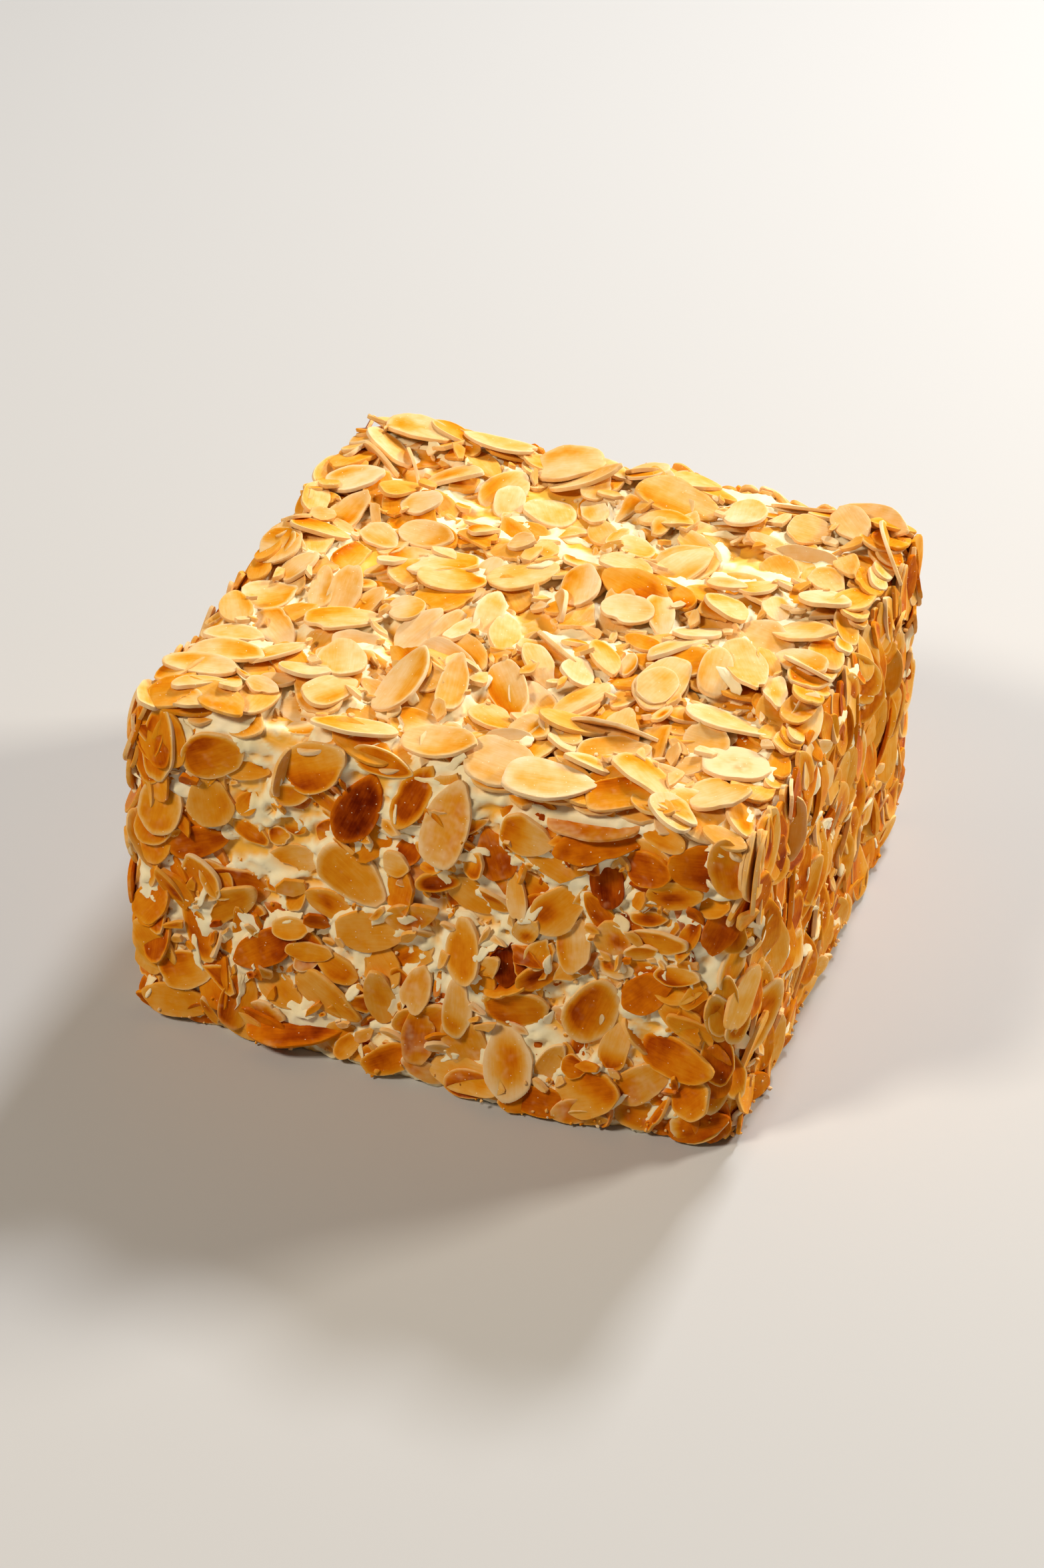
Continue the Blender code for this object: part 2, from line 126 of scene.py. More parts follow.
# Slices of the front face as (across, up, length, width, turn in degrees, toast from 0 to 1),
# lowest layer first
FRONT_SLICES = (
    (-33, 52, 14, 8, 20, .25, "broken"), (-67, 60, 17, 11, 80, .50), (-46, 73, 12, 5, 12, .45),
    (-35, 70, 10, 6, 10, .50), (-26, 71, 10, 5, -15, .60), (-34, 34, 10, 6, 15, .35),
    (-45, 56, 10, 5, -20, .65), (-65, 37, 12, 5, 120, .60), (-5, 63, 9, 6, 60, .80),
    (10, 54, 13, 9, -30, .40), (21, 58, 13, 5, 105, .25), (2, 57, 11, 5, 10, .85),
    (44, 53, 10, 9, 100, .40), (27, 38, 12, 6, 35, .65), (58, 69, 14, 8, 20, .50),
    (46, 22, 14, 7, 80, .30), (-2, 26, 13, 7, 80, .35), (31, 14, 14, 6, 65, .35),
    (-70, 31, 14, 9, 60, .60), (-72, 19, 15, 10, 135, .50), (-47, 11, 17, 9, 75, .50),
    (-37, 15, 13, 8, -35, .40), (10, 15, 15, 11, 115, .42), (53, 14, 17, 9, 40, .42),
    (-29, 80, 19, 12, 30, .42), (4, 73, 23, 11, 78, .40), (-54, 76, 16, 12, 25, .55),
    (-67, 77, 20, 9, 88, .60), (-55, 63, 13, 11, 100, .45), (-57, 42, 13, 11, 115, .50),
    (-4, 46, 15, 8, 30, .45), (-14, 38, 18, 11, 12, .40), (-58, 51, 16, 8, 20, .80),
    (-29, 29, 12, 5, 5, .45), (-11, 22, 16, 8, 100, .40), (-1, 14, 17, 8, 85, .65),
    (15, 67, 13, 9, 110, .75), (31, 57, 16, 10, 50, .45), (42, 66, 11, 8, 100, .85, "broken"),
    (55, 55, 15, 7, 15, .55), (35, 48, 14, 8, 95, .25, "broken"), (9, 40, 18, 9, 95, .50),
    (19, 39, 12, 7, 95, .95, "broken"), (62, 35, 13, 8, -30, .55, "broken"),
    (-50, 37, 17, 10, 35, .55, "broken"), (-58, 26, 17, 7, 115, .65), (-40, 27, 19, 9, 38, .70),
    (-61, 15, 13, 10, 25, .45, "broken"), (-24, 18, 19, 11, -25, .40), (8, 24, 16, 7, 92, .30),
    (22, 27, 17, 11, 12, .60), (21, 13, 20, 12, 100, .25), (65, 13, 13, 10, 50, .60),
    (53, 40, 17, 9, 50, .70), (23, 75, 13, 10, -10, .30), (52, 74, 12, 9, 10, .75),
    (-5, 77, 18, 8, 68, .85), (-18, 71, 20, 10, 68, .98), (-19, 52, 19, 13, -38, .45),
    (40, 31, 20, 12, 70, .60), (61, 23, 19, 11, -5, .65), (41, 9, 16, 12, 25, .35),
    (-32, 7, 24, 8, 12, .70), (-62, 6, 19, 9, 2, .40), (12, 6, 20, 9, 0, .35),
    (41, 78, 22, 8, 28, .70, "shelf"),
    # Those that only show close up
    (-13, 85, 15, 6, -8, .65), (-37, 75.5, 13.5, 2, 82, .35), (-46, 64, 8, 5, 60, .55),
    (-34, 61, 6, 5, 0, .45), (-38, 57, 6, 5, 20, .45), (-26, 62, 8, 5, 65, .60),
    (-77, 26.5, 13.5, 4.5, 75, .55), (-74.5, 46.5, 18, 2.5, -65, .50), (-73, 64, 13, 5, 85, .60),
    (-19, 5, 9, 5, 55, .40), (-38, 44, 7, 4, 30, .60), (-33, 42, 8, 5, 65, .50),
    (-53, 24, 8.5, 2, 70, .10), (-54, 6, 9, 3.5, 110, .50), (38, 82.5, 23, 8, 8, .55, "shelf"),
    (22, 65, 8, 1.8, 80, .50), (16, 55, 9, 6, -15, .55, "broken"), (11, 64, 8, 5, 70, .55),
    (-8, 59, 7, 6.5, 0, .30), (27, 44, 9, 6, 70, .50), (24, 50, 10, 6, 60, .30),
    (52, 60, 9, 4, 8, .65), (67, 67, 8, 5.5, 20, .50), (51, 51, 8.5, 4.5, 25, .45),
    (60, 47, 11, 5, 10, .40), (45, 44, 9, 6, 0, .25), (62, 42, 5.5, 5, 0, .65),
    (57, 6, 12, 3.5, 65, .45), (46, 4, 8, 2.5, 75, .60), (25, 3, 9, 5, 0, .60),
    (50, 25.5, 11, 2, -55, .50), (19.5, 32.5, 12, 4, 25, .55), (37, 15, 6, 6, 0, .65),
)

# Slices of the top as (across, away from the front, length, width, turn, toast)
TOP_SLICES = (
    (-52, -9, 16, 6, 105, .40), (-67, -26, 12, 8, 120, .55), (-63, -36, 15, 8, 10, .55),
    (-46, -49, 9, 6, 20, .50), (-29, -12, 9, 8, 40, .25), (-14, -14, 13, 5, 75, .30),
    (-11, -5, 18, 7, 100, .30), (-54, -57, 10, 5, 100, .35), (9, -13, 17, 6, -40, .45),
    (8, -22, 15, 7, -50, .35), (17, -21, 13, 8, 100, .28), (5, -44, 13, 9, -30, .50),
    (16, -48, 12, 8, -30, .45), (51, -52, 9, 8, -60, .70), (62, -12, 15, 6, -65, .30),
    (57, -1, 12, 5, -50, .80), (-62, 51, 14, 4, -25, .45), (-51, 38, 14, 6, 60, .80),
    (-49, 20, 12, 8, -30, .50), (-38, 15, 14, 6, 5, .55), (-27, 35, 12, 6, 50, .25),
    (-18, 14, 10, 7, 80, .25), (-68, 10, 14, 8, 60, .50), (-40, 6, 10, 6, 75, .30),
    (48, 55, 8, 6, 0, .75), (15, 49, 15, 7, -5, .50), (6, 39, 12, 5, 95, .60),
    (45, 30, 12, 8, 60, .42), (62, 47, 15, 6, -60, .60), (52, 12, 17, 11, -20, .50),
    (13, 24, 15, 9, -20, .35), (36, -4, 18, 8, 60, .30), (38, 5, 13, 10, 60, .30),
    (27, 9, 15, 7, -65, .22), (-46, -9, 16, 8, 95, .50), (-60, -4, 12, 7, 60, .45),
    (-63, -15, 14, 11, 40, .35), (-57, -26, 15, 9, -40, .30), (-51, -38, 16, 8, 55, .55),
    (-24, -16, 15, 8, 65, .25), (-13, -26, 17, 6, -15, .25), (-5, -10, 17, 8, 105, .35),
    (21, -13, 15, 7, -55, .50), (47, -10, 15, 8, 100, .40), (71, -17, 15, 8, 100, .30),
    (53, -34, 11, 10, 0, .55), (22, -47, 15, 8, -50, .25), (14, -61, 19, 13, -10, .40),
    (33, -39, 21, 7, 12, .25), (12, -35, 17, 10, -40, .25), (-44, 35, 11, 8, 20, .30),
    (-38, 23, 15, 9, -10, .40), (-15, 47, 17, 13, 120, .35), (-26, 48, 14, 8, 100, .25),
    (-42, 50, 17, 8, 5, .42), (-62, 57, 17, 8, -28, .35), (-36, 68, 20, 10, 5, .45),
    (-10, 61, 19, 8, 15, .38), (3, 69, 12, 11, 0, .45), (16, 69, 15, 8, 40, .50),
    (48, 61, 11, 10, 0, .50), (50, 49, 20, 6, 3, .30), (47, 42, 14, 9, -50, .65),
    (59, 40, 14, 8, -50, .55), (62, 28, 14, 11, -30, .25), (12, 35, 10, 9, 30, .42),
    (1, 27, 15, 10, 110, .50), (20, 6, 13, 10, 20, .20), (64, 3, 17, 8, -30, .22),
    (61, 15, 16, 10, -15, .42), (41, 17, 12, 11, 60, .38), (-42, -20, 19, 12, 30, .50),
    (-35, -37, 14, 12, 110, .30), (-41, -45, 12, 8, 15, .20), (-61, -44, 18, 9, 12, .38),
    (-64, -52, 19, 8, 5, .40), (-33, -49, 15, 9, 60, .45), (-18, -41, 21, 11, 75, .35),
    (-7, -38, 17, 7, 102, .60), (-10, -51, 11, 9, 0, .15, "broken"), (-22, -60, 20, 10, 22, .35),
    (-2, -58, 20, 11, -8, .38), (5, -33, 22, 9, -57, .40), (22, -31, 18, 9, 70, .45),
    (37, -19, 20, 11, 80, .40), (53, -6, 23, 10, -58, .50), (55, -26, 20, 12, -5, .45),
    (62, -40, 16, 14, 20, .05), (35, -46, 18, 8, 35, .50), (45, -55, 20, 10, -40, .40),
    (62, -54, 14, 13, 40, .40, "broken"), (26, -65, 21, 13, 15, .45),
    (55, -65, 13, 10, -50, .35), (-57, 66, 19, 11, -10, .40), (-16, 67, 19, 14, 10, .42),
    (-63, 37, 15, 11, 25, .33), (-60, 25, 16, 8, 70, .60), (-29, 11, 21, 9, 50, .22),
    (-24, 4, 17, 12, 20, .50), (-9, 13, 18, 12, 40, .45), (-67, 2, 12, 11, 0, .38),
    (15, 58, 22, 12, -5, .60), (32, 60, 16, 11, 100, .15), (58, 64, 14, 9, -50, .42),
    (25, 33, 20, 9, 65, .35), (6, 12, 15, 10, 100, .28),
    # Those that only show close up
    (-18, -14, 15, 4, 80, .25), (-36, -26, 12, 4, 25, .30), (-48, -53, 8, 5, 0, .25),
    (-35, -61, 9, 5, -15, .20), (-60, -65, 7, 6, 0, .50, "broken"), (-61, -59, 13, 5, 30, .30),
    (27, -13, 8, 4, 90, .40), (12, -53, 12.5, 4, 5, .15), (32, -55, 11, 7, 0, .30),
    (66, 0, 15, 5, -30, .20), (41, -30, 7, 3.5, 75, .40), (48, -46, 12, 4.5, -12, .20),
    (36.5, -21, 13, 9, 75, .45), (-54, 54, 15, 3.5, -55, .25), (-25, 28, 8, 6, 35, .40),
    (-14, 26, 7, 6.5, 0, .35), (-8, 26, 7, 6, 80, .55), (-4, 50, 13, 7, -60, .30),
    (-69, 66, 6, 4, 0, .55), (43, 75, 17, 9, -15, .45), (62, 73, 22, 7, -25, .50),
    (71, 57, 22, 7, -62, .50), (42, 51, 13, 5, 0, .35), (38, 27, 10, 4.5, 5, .35),
    (51, 24, 10, 7, -60, .30), (4, 4, 13, 4.5, -65, .25), (-72, -64, 12, 4, 120, .50),
    (-72, 41, 16, 5, 95, .50), (-71, 25, 14, 5, 105, .45),
)

# Slices of the right face, whose others follow a rule, as (across towards the back, up, ...)
RIGHT_SLICES = (
    (36, 46, 21, 8, 87, .45), (29, 40, 22, 8, 84, .42), (20, 50, 20, 8, 88, .40),
    (55, 44, 20, 6, 86, .50), (44, 62, 20, 7, 92, .48), (17, 36, 20, 9, 84, .52),
    (6, 46, 12, 6, 50, .40), (-5, 46, 13, 5, 62, .80), (50, 15, 11, 9, 84, .72),
    (57, 24, 12, 7, 60, .60), (-5, 20, 17, 6, 80, .70), (-16, 37, 8, 6, 70, .35),
    (-55, 49, 20, 9, 74, .45), (-34, 50, 16, 6, 80, .48), (-30, 39, 14, 9, 76, .82),
    (-36, 69, 20, 5, 84, .42), (-47, 30, 18, 8, 80, .45), (-20, 12, 15, 7, 100, .50),
    (3, 70, 17, 6, 84, .80), (-11, 66, 11, 9, 88, .22), (-25, 79, 12, 10, 82, .22),
    (-62, 68, 14, 10, 74, .75), (-56, 79, 18, 10, 58, .45),
)

LISTED = {"front": FRONT_SLICES, "top": TOP_SLICES, "right": RIGHT_SLICES}

# Slices of a face that follow a rule, as in the part's source: how many, and their seed
RULED = by_face((0, 0), (0, 0), (60, 11), (45, 12), (45, 13))
SPREAD_TRIES = 30
LENGTHS = (12.0, 22.0)
SLENDERNESS = (0.45, 0.62)  # width as a share of the length
TURNS = (35.0, 145.0)
SIDE_TOAST = (0.30, 0.80)
TOAST_SEED = 100  # added to the seed of a face
FAR = 99.0

# The layer under the slices that show whole: how many, and how deep it lies below the block
Layer = namedtuple("Layer", "count depth lengths turns broken toasts")
# The toasts of the lower layer, shared by the edge slices, run browner than those of the slices above, on
# the top most of all: partly toast, partly painted shade in the gaps between the upper slices
UNDER = by_face(Layer(150, 0.8, (8, 17), (0, 180), 0.8, (0.35, 0.80)),
                Layer(330, 1.2, (9, 19), (0, 180), 0.5, (0.50, 1.20)),
                Layer(240, 1.4, (11, 21), (72, 108), 0.15, (0.35, 0.90)),
                Layer(160, 1.0, (9, 18), (40, 140), 0.5, (0.35, 0.80)))
UNDER_SLENDERNESS = (0.45, 0.72)

# Slices along the edges of a face
EDGE_LENGTHS = (9.0, 18.0)
EDGE_SLENDERNESS = (0.42, 0.6)
EDGE_JITTER = 2.0
EDGE_TURN = 30.0

# Broken bits and crumbs
BITS = by_face(190, 240, 140, 120)
BIT_LENGTHS = (2.0, 8.0)
BIT_SLENDERNESS = (0.25, 0.65)
BIT_TOAST = (0.2, 0.9)
BIT_TILT = 0.35
CRUMBS = by_face(260, 120, 200, 120)
CRUMB_TOAST = (0.0, 0.5)
CRUMB_UNEVEN = (0.6, 1.2)
CRUMB_LIFT = 0.3  # share of its size by which its middle lies above what it lies on
FOOT_CRUMBS = 3  # every third crumb of a side lies near its foot
FOOT_SPREAD = 2.0
HOLLOW_TRIES = 30

# How the cream meets the slices
VALLEY = 1.2  # width over which it rises from a hollow to a slice
GAP_DEPTH = by_face(0.65, 0.85, 1.2, 0.9)  # depth of the hollows between slices
LIP = by_face(1.3, 0.6, 1.0, 1.2)  # height of the lip that is squeezed up along a slice
LIP_WIDTH = 0.9
BURIED = by_face(1.5, 0.5, 0.9, 0.9)  # how far it may cover slices of the lower layer
PATCH_SIZE = 5.0  # grain of the noise that says where it has a lip and covers slices
LIP_NOISE = (-0.15, 0.35)
BURIED_NOISE = (0.0, 0.4)
BARE_LEVEL = 0.1  # height above the block where it is bare
MOST_RISE = 0.9  # it stands at most this much above the block
EDGE_DROP = 0.5  # and this much lower along its rounded edges
CLEAR_MIDDLE = 0.95  # it stays this far below the upper side of a slice's middle
CLEAR_RIM = 0.25  # and this far below that of its rim
HIGH = 5.0  # a slice higher than this above the block doesn't hold it down
PAINTED_SHADE_DEPTHS = (-0.2, 0.8)  # depths between which it gets a painted warm shade in the almonds' colour, more amber the deeper its hollow
# Its own unevenness as (grain along x, y and z, shift of the noise, height): swells, strokes of
# the knife and ripples, then ridges
RELIEF = (((9.0, 9.0, 7.0), (0.0, 0.0, 0.0), 0.30), ((12.0, 12.0, 2.2), (20.0, 0.0, 0.0), 0.45),
          ((2.2, 2.2, 1.6), (0.0, 0.0, 40.0), 0.25))
RIDGES = ((5.0, 5.0, 3.0), (0.0, 70.0, 0.0), 0.60)

# Cream smeared over the rims of the slices
SMEARS = by_face(60, 20, 80, 60)
RIM_STEP = 0.9  # slope of the height map that counts as a rim
SMEAR_LENGTHS = (2.5, 10.0)
SMEAR_WIDTHS = (1.2, 3.2)
SMEAR_HEIGHTS = (0.10, 0.35)
SMEAR_DEPTH = 0.8
SMEAR_TURN = 0.3
SMEAR_TOAST = (0.0, 0.25)

# First seed of each kind of draw, to which a face adds its number
SEEDS = {"under": 40, "edge": 45, "lay under": 50, "lay edge": 55, "lay whole": 60, "bits": 70,
         "crumbs": 80, "smears": 90}

# Bare cream on each face as (across, up, half width, half height)
BARE = {
    "top": ((-40, -64, 12, 6), (0, -67, 12, 5), (66, -48, 2.5, 7), (67, -8, 2.5, 3),
            (-54, -14, 4, 4), (-57, 45, 5, 4), (-35, 31, 4, 4), (-10, 35, 5, 4), (33, 35, 4, 3),
            (28, 73, 5, 3), (23, 17, 3, 3), (56, 57, 4, 3), (64, -69, 5, 3)),
    "front": ((-40, 63, 11, 6), (-37, 47, 14, 5), (-20, 60, 7, 4), (-12, 70, 4, 7),
              (-45, 81, 12, 4), (-8, 82, 10, 3), (-32, 80, 5, 6), (12, 81, 12, 3),
              (20, 48, 6, 4), (67, 68, 7, 8), (68, 50, 6, 7), (-22, 12, 8, 4),
              (-44, 17, 6, 4), (0, 33, 4, 6), (30, 21, 5, 4), (50, 32, 5, 3), (-66, 52, 5, 6),
              (69, 32, 4, 5), (69, 16, 4, 6)),
    "right": ((-64, 62, 5, 9), (-65, 42, 4, 8), (-65, 27, 3, 5), (-64, 13, 4, 6),
              (-30, 60, 2, 6), (-10, 48, 2, 8), (12, 58, 2, 6), (34, 62, 2, 6)),
    "left": (),
    "back": (),
}


def smooth_step(low, high, value):
    share = np.clip((value - low) / (high - low), 0.0, 1.0)
    return share * share * (3.0 - 2.0 * share)


def heading(degrees):
    """Cosine and sine of a direction."""
    return math.cos(math.radians(degrees)), math.sin(math.radians(degrees))


def turned(x, y, aim):
    """Coordinates along and across a direction, given in radians."""
    cos, sin = math.cos(aim), math.sin(aim)
    return x * cos + y * sin, y * cos - x * sin


def drawn(draw, count, low, high):
    return np.array([draw.uniform(low, high) for _ in range(count)])


def front_flare(x, z):
    foot = np.maximum(0.0, 1.0 - z / HEIGHT) ** 2
    along = 1.0 - ((x / (WIDTH / 2) + 0.25) / 1.25) ** 4
    return FRONT_FLARE * foot * np.maximum(0.0, along)


def back_bow(x, z):
    u = x / (WIDTH / 2)
    return BACK_BOW * np.maximum(0.0, 1.0 - u ** 4) * (1.0 + 0.8 * u) * (0.5 + 0.5 * z / HEIGHT)


def left_bow(z):
    w = np.clip(z / HEIGHT, 0.0, 1.0)
    return LEFT_BOW * 4.0 * w * (1.0 - w)


def crown(x, y):
    u = x / (WIDTH / 2)
    v = (y - (FRONT + BACK) / 2) / ((BACK - FRONT) / 2)
    return CROWN * np.maximum(0.0, 1.0 - u * u) * np.maximum(0.0, 1.0 - v * v)


def settle(points):
    """Move points of the plain block to their place on the uneven one."""
    x, y, z = points.T
    forward = (BACK - y) / (BACK - FRONT)
    leftward = (WIDTH / 2 - x) / WIDTH
    new_x = x - leftward * left_bow(z)
    new_y = y - forward * front_flare(x, z) + (1.0 - forward) * back_bow(x, z)
    new_z = z + crown(x, y) * z / HEIGHT
    return np.column_stack((new_x, new_y, new_z))


def blurred(grid, spread):
    """A grid smoothed by a Gaussian of this spread in cells."""
    reach = int(3 * spread)
    weights = np.exp(-0.5 * (np.arange(-reach, reach + 1) / spread) ** 2)
    weights /= weights.sum()
    padded = np.pad(grid, reach, mode="edge")
    for axis in (0, 1):
        padded = np.apply_along_axis(np.convolve, axis, padded, weights, mode="valid")
    return padded


def eased_slopes(a, b, height, limit):
    """Slopes of the plane through these places of a height map, eased to the limit."""
    steps = np.column_stack((np.ones(len(a)), a, b))
    _, slope_a, slope_b = np.linalg.lstsq(steps, height, rcond=None)[0]
    ease = min(1.0, limit / max(math.hypot(slope_a, slope_b), 1e-6))
    return slope_a * ease, slope_b * ease


class Face:
    """One face of the block, with the height map on which its almond slices come to rest."""

    def __init__(self, number, name, origin, across, up, spans, swell):
        self.number, self.name = number, name
        out = np.cross(across, up).tolist()
        self.frame = Matrix((across, up, out)).transposed()
        self.origin = Vector(origin)
        self.a, self.b = (np.arange(low - MAP_MARGIN, high + MAP_MARGIN, CELL) for low, high in spans)
        self.grid = np.meshgrid(self.a, self.b, indexing="ij")
        (self.left, self.right), (self.low, self.high) = spans
        self.lies_flat = name == "top"
        self.bare = self.bare_block(swell)
        depth = np.where(self.bare > OFF_FACE / 2, UNDER[name].depth, 0.0)
        self.height = self.bare - depth
        self.around = self.height
        self.covered = np.zeros_like(self.height, dtype=int)
        self.ceiling = np.full_like(self.height, NO_CEILING)
        self.noise_shift = 10.0 * len(name)

    def bare_block(self, swell):
        """Height of the bare block: its swell, less the rounding near an edge but the foot's."""
        a, b = self.grid
        nearest = np.minimum(np.minimum(a - self.left, self.right - a), self.high - b)
        if self.lies_flat:
            nearest = np.minimum(nearest, b - self.low)
        bend = np.clip(EDGE_RADIUS - nearest, 0.0, EDGE_RADIUS)
        rounding = np.sqrt(EDGE_RADIUS ** 2 - bend ** 2) - EDGE_RADIUS
        outside = (nearest < 0) | (b < self.low)
        return np.where(outside, OFF_FACE, swell(a, b) + rounding)

    def draw(self, kind):
        """The seeded draw of one kind of thing on this face."""
        return random.Random(SEEDS[kind] + self.number)

    def somewhere(self, draw):
        return draw.uniform(self.left, self.right), draw.uniform(self.low, self.high)

    def kept_in(self, row, overhang):
        """The place of a slice, moved in where it would reach too far past an edge."""
        foot = overhang if self.lies_flat else -TABLE_GAP
        over_top = overhang if self.lies_flat else min(overhang, OVER_TOP)
        cos, sin = heading(row.turn)
        half_a = math.hypot(row.length * cos, row.width * sin) / 2
        half_b = math.hypot(row.length * sin, row.width * cos) / 2
        a = min(max(row.across, self.left - overhang + half_a), self.right + overhang - half_a)
        b = min(max(row.up, self.low - foot + half_b), self.high + over_top - half_b)
        return a, b

    def is_near_edge(self, a, b):
        return min(a - self.left, self.right - a, self.high - b) < EDGE_ZONE

    def window(self, a0, b0, reach):
        """The part of the map round a place."""
        i = np.searchsorted(self.a, (a0 - reach, a0 + reach))
        j = np.searchsorted(self.b, (b0 - reach, b0 + reach))
        return slice(*i), slice(*j)

    def rest(self, row, extra=(0.0, 0.0), overhang=OVERHANG, mark=UPPER):
        """Let one slice come to rest; gives its matrix in the object's frame, or None."""
        a0, b0 = self.kept_in(row, overhang)
        view = self.window(a0, b0, row.length / 2 + 1)
        grid_a, grid_b = self.grid[0][view] - a0, self.grid[1][view] - b0
        along, beside = turned(grid_a, grid_b, math.radians(row.turn))
        radius = (along / (row.length / 2)) ** 2 + (beside / (row.width / 2)) ** 2
        height = self.height[view]
        under = radius < 1.0
        held = under & (height > OFF_FACE / 2)
        if held.sum() < max(LEAST_CELLS, LEAST_HELD * under.sum()):
            return None
        limit = EDGE_TILT if self.is_near_edge(a0, b0) else MAX_TILT[self.name]
        slope_a, slope_b = eased_slopes(grid_a[held], grid_b[held], height[held], limit)
        slope_a, slope_b = slope_a + extra[0], slope_b + extra[1]
        plane = slope_a * grid_a + slope_b * grid_b
        level = np.percentile((height - plane)[held], REST_LEVEL) - SINK
        pressed = np.median((self.bare[view] - plane)[held]) + MOST_STACK[self.name]
        level = min(level, pressed)
        raised = np.maximum(height, plane + level + THICKNESS)
        clear = CLEAR_MIDDLE + (CLEAR_RIM - CLEAR_MIDDLE) * radius
        height[under] = raised[under]
        self.covered[view][under] = mark
        self.ceiling[view][under] = (raised - clear)[under]
        return self.place(a0, b0, level, slope_a, slope_b, row.turn)

    def place(self, a0, b0, level, slope_a, slope_b, turn):
        """The matrix of a slice with its middle and its slopes on the face."""
        normal = Vector((-slope_a, -slope_b, 1.0)).normalized()
        along = Vector((*heading(turn), 0.0))
        along = (along - normal * along.dot(normal)).normalized()
        axes = Matrix((along, normal.cross(along), normal)).transposed()
        spot = self.origin + self.frame @ Vector((a0, b0, level))
        return Matrix.Translation(spot) @ (self.frame @ axes).to_4x4()

    def level_at(self, a, b, grid=None):
        """Height of the map at places given as arrays, between cells in a straight line."""
        grid = self.height if grid is None else grid
        i = np.clip((a - self.a[0]) / CELL, 0, len(self.a) - 1.001)
        j = np.clip((b - self.b[0]) / CELL, 0, len(self.b) - 1.001)
        i0, j0 = i.astype(int), j.astype(int)
        fi, fj = i - i0, j - j0
        near = grid[i0, j0] * (1 - fj) + grid[i0, j0 + 1] * fj
        far = grid[i0 + 1, j0] * (1 - fj) + grid[i0 + 1, j0 + 1] * fj
        return near * (1 - fi) + far * fi

    def is_bare(self, a, b):
        return any(((a - x) / w) ** 2 + ((b - y) / h) ** 2 < 1 for x, y, w, h in BARE[self.name])


def make_faces():
    """The five shown faces, each with its ways across and up, its span along both and its swell."""
    half = WIDTH / 2
    wide, upright = (-half, half), (0.0, HEIGHT)
    return [
        Face(0, "front", (0, FRONT, 0), (1, 0, 0), (0, 0, 1), (wide, upright), front_flare),
        Face(1, "top", (0, 0, HEIGHT), (1, 0, 0), (0, 1, 0), (wide, (FRONT, BACK + BACK_BOW / 2)), crown),
        Face(2, "right", (half, 0, 0), (0, 1, 0), (0, 0, 1), ((FRONT, BACK), upright),
             lambda a, b: 0.0 * a),
        Face(3, "left", (-half, 0, 0), (0, -1, 0), (0, 0, 1), ((-BACK, -FRONT), upright),
             lambda a, b: left_bow(b)),
        Face(4, "back", (0, BACK, 0), (-1, 0, 0), (0, 0, 1), (wide, upright),
             lambda a, b: back_bow(-a, b)),
    ]


def spread_slices(face, count, seed):
    """Slices of a face by rule: largest first, each in the emptiest of a few drawn places."""
    draw, toasts = random.Random(seed), random.Random(seed + TOAST_SEED)
    rows = []
    for length in sorted((draw.uniform(*LENGTHS) for _ in range(count)), reverse=True):
        places = [face.somewhere(draw) for _ in range(SPREAD_TRIES)]
        best = max(places, key=lambda p: min([math.dist(p, row[:2]) for row in rows] + [FAR]))
        turn = draw.uniform(*TURNS)
        rows.append(Row(*best, length, length * draw.uniform(*SLENDERNESS), turn,
                        toasts.uniform(*SIDE_TOAST)))
    return rows


def under_rows(face):
    """The slices of the lower layer, scattered evenly outside the bare cream."""
    draw = face.draw("under")
    layer = UNDER[face.name]
    rows = []
    while len(rows) < layer.count:
        a, b = face.somewhere(draw)
        length = draw.uniform(*layer.lengths)
        width = length * draw.uniform(*UNDER_SLENDERNESS)
        style = draw.choice(("broken", "flake")) if draw.random() < layer.broken else "whole"
        row = Row(a, b, length, width, draw.uniform(*layer.turns), draw.uniform(*layer.toasts), style)
        if not face.is_bare(a, b):
            rows.append(row)
    return rows


def edge_rows(face):
    """Slices that follow the edges of a face, so that no edge stays bare."""
    draw = face.draw("edge")
    foot = (face.left, face.low), (face.right, face.low)
    rim = (face.left, face.high), (face.right, face.high)
    # Each edge as its two ends, the turn of the slices along it and their spacing
    edges = [(foot[0], rim[0], 90, 5.0), (foot[1], rim[1], 90, 5.0), (*foot, 0, 7.0)]
    if face.lies_flat:
        edges.append((*rim, 0, 7.0))
    elif face.name != "front":
        edges.append((*rim, 90, 6.0))
    rows = []
    for start, end, turn, step in edges:
        for number in range(round(math.dist(start, end) / step)):
            share = (number + draw.random()) * step / math.dist(start, end)
            a, b = (first + (last - first) * share + draw.uniform(-EDGE_JITTER, EDGE_JITTER)
                    for first, last in zip(start, end))
            length = draw.uniform(*EDGE_LENGTHS)
            row = Row(a, b, length, length * draw.uniform(*EDGE_SLENDERNESS),
                      turn + draw.uniform(-EDGE_TURN, EDGE_TURN),
                      draw.uniform(*UNDER[face.name].toasts))
            if not face.is_bare(a, b):
                rows.append(row)
    return rows


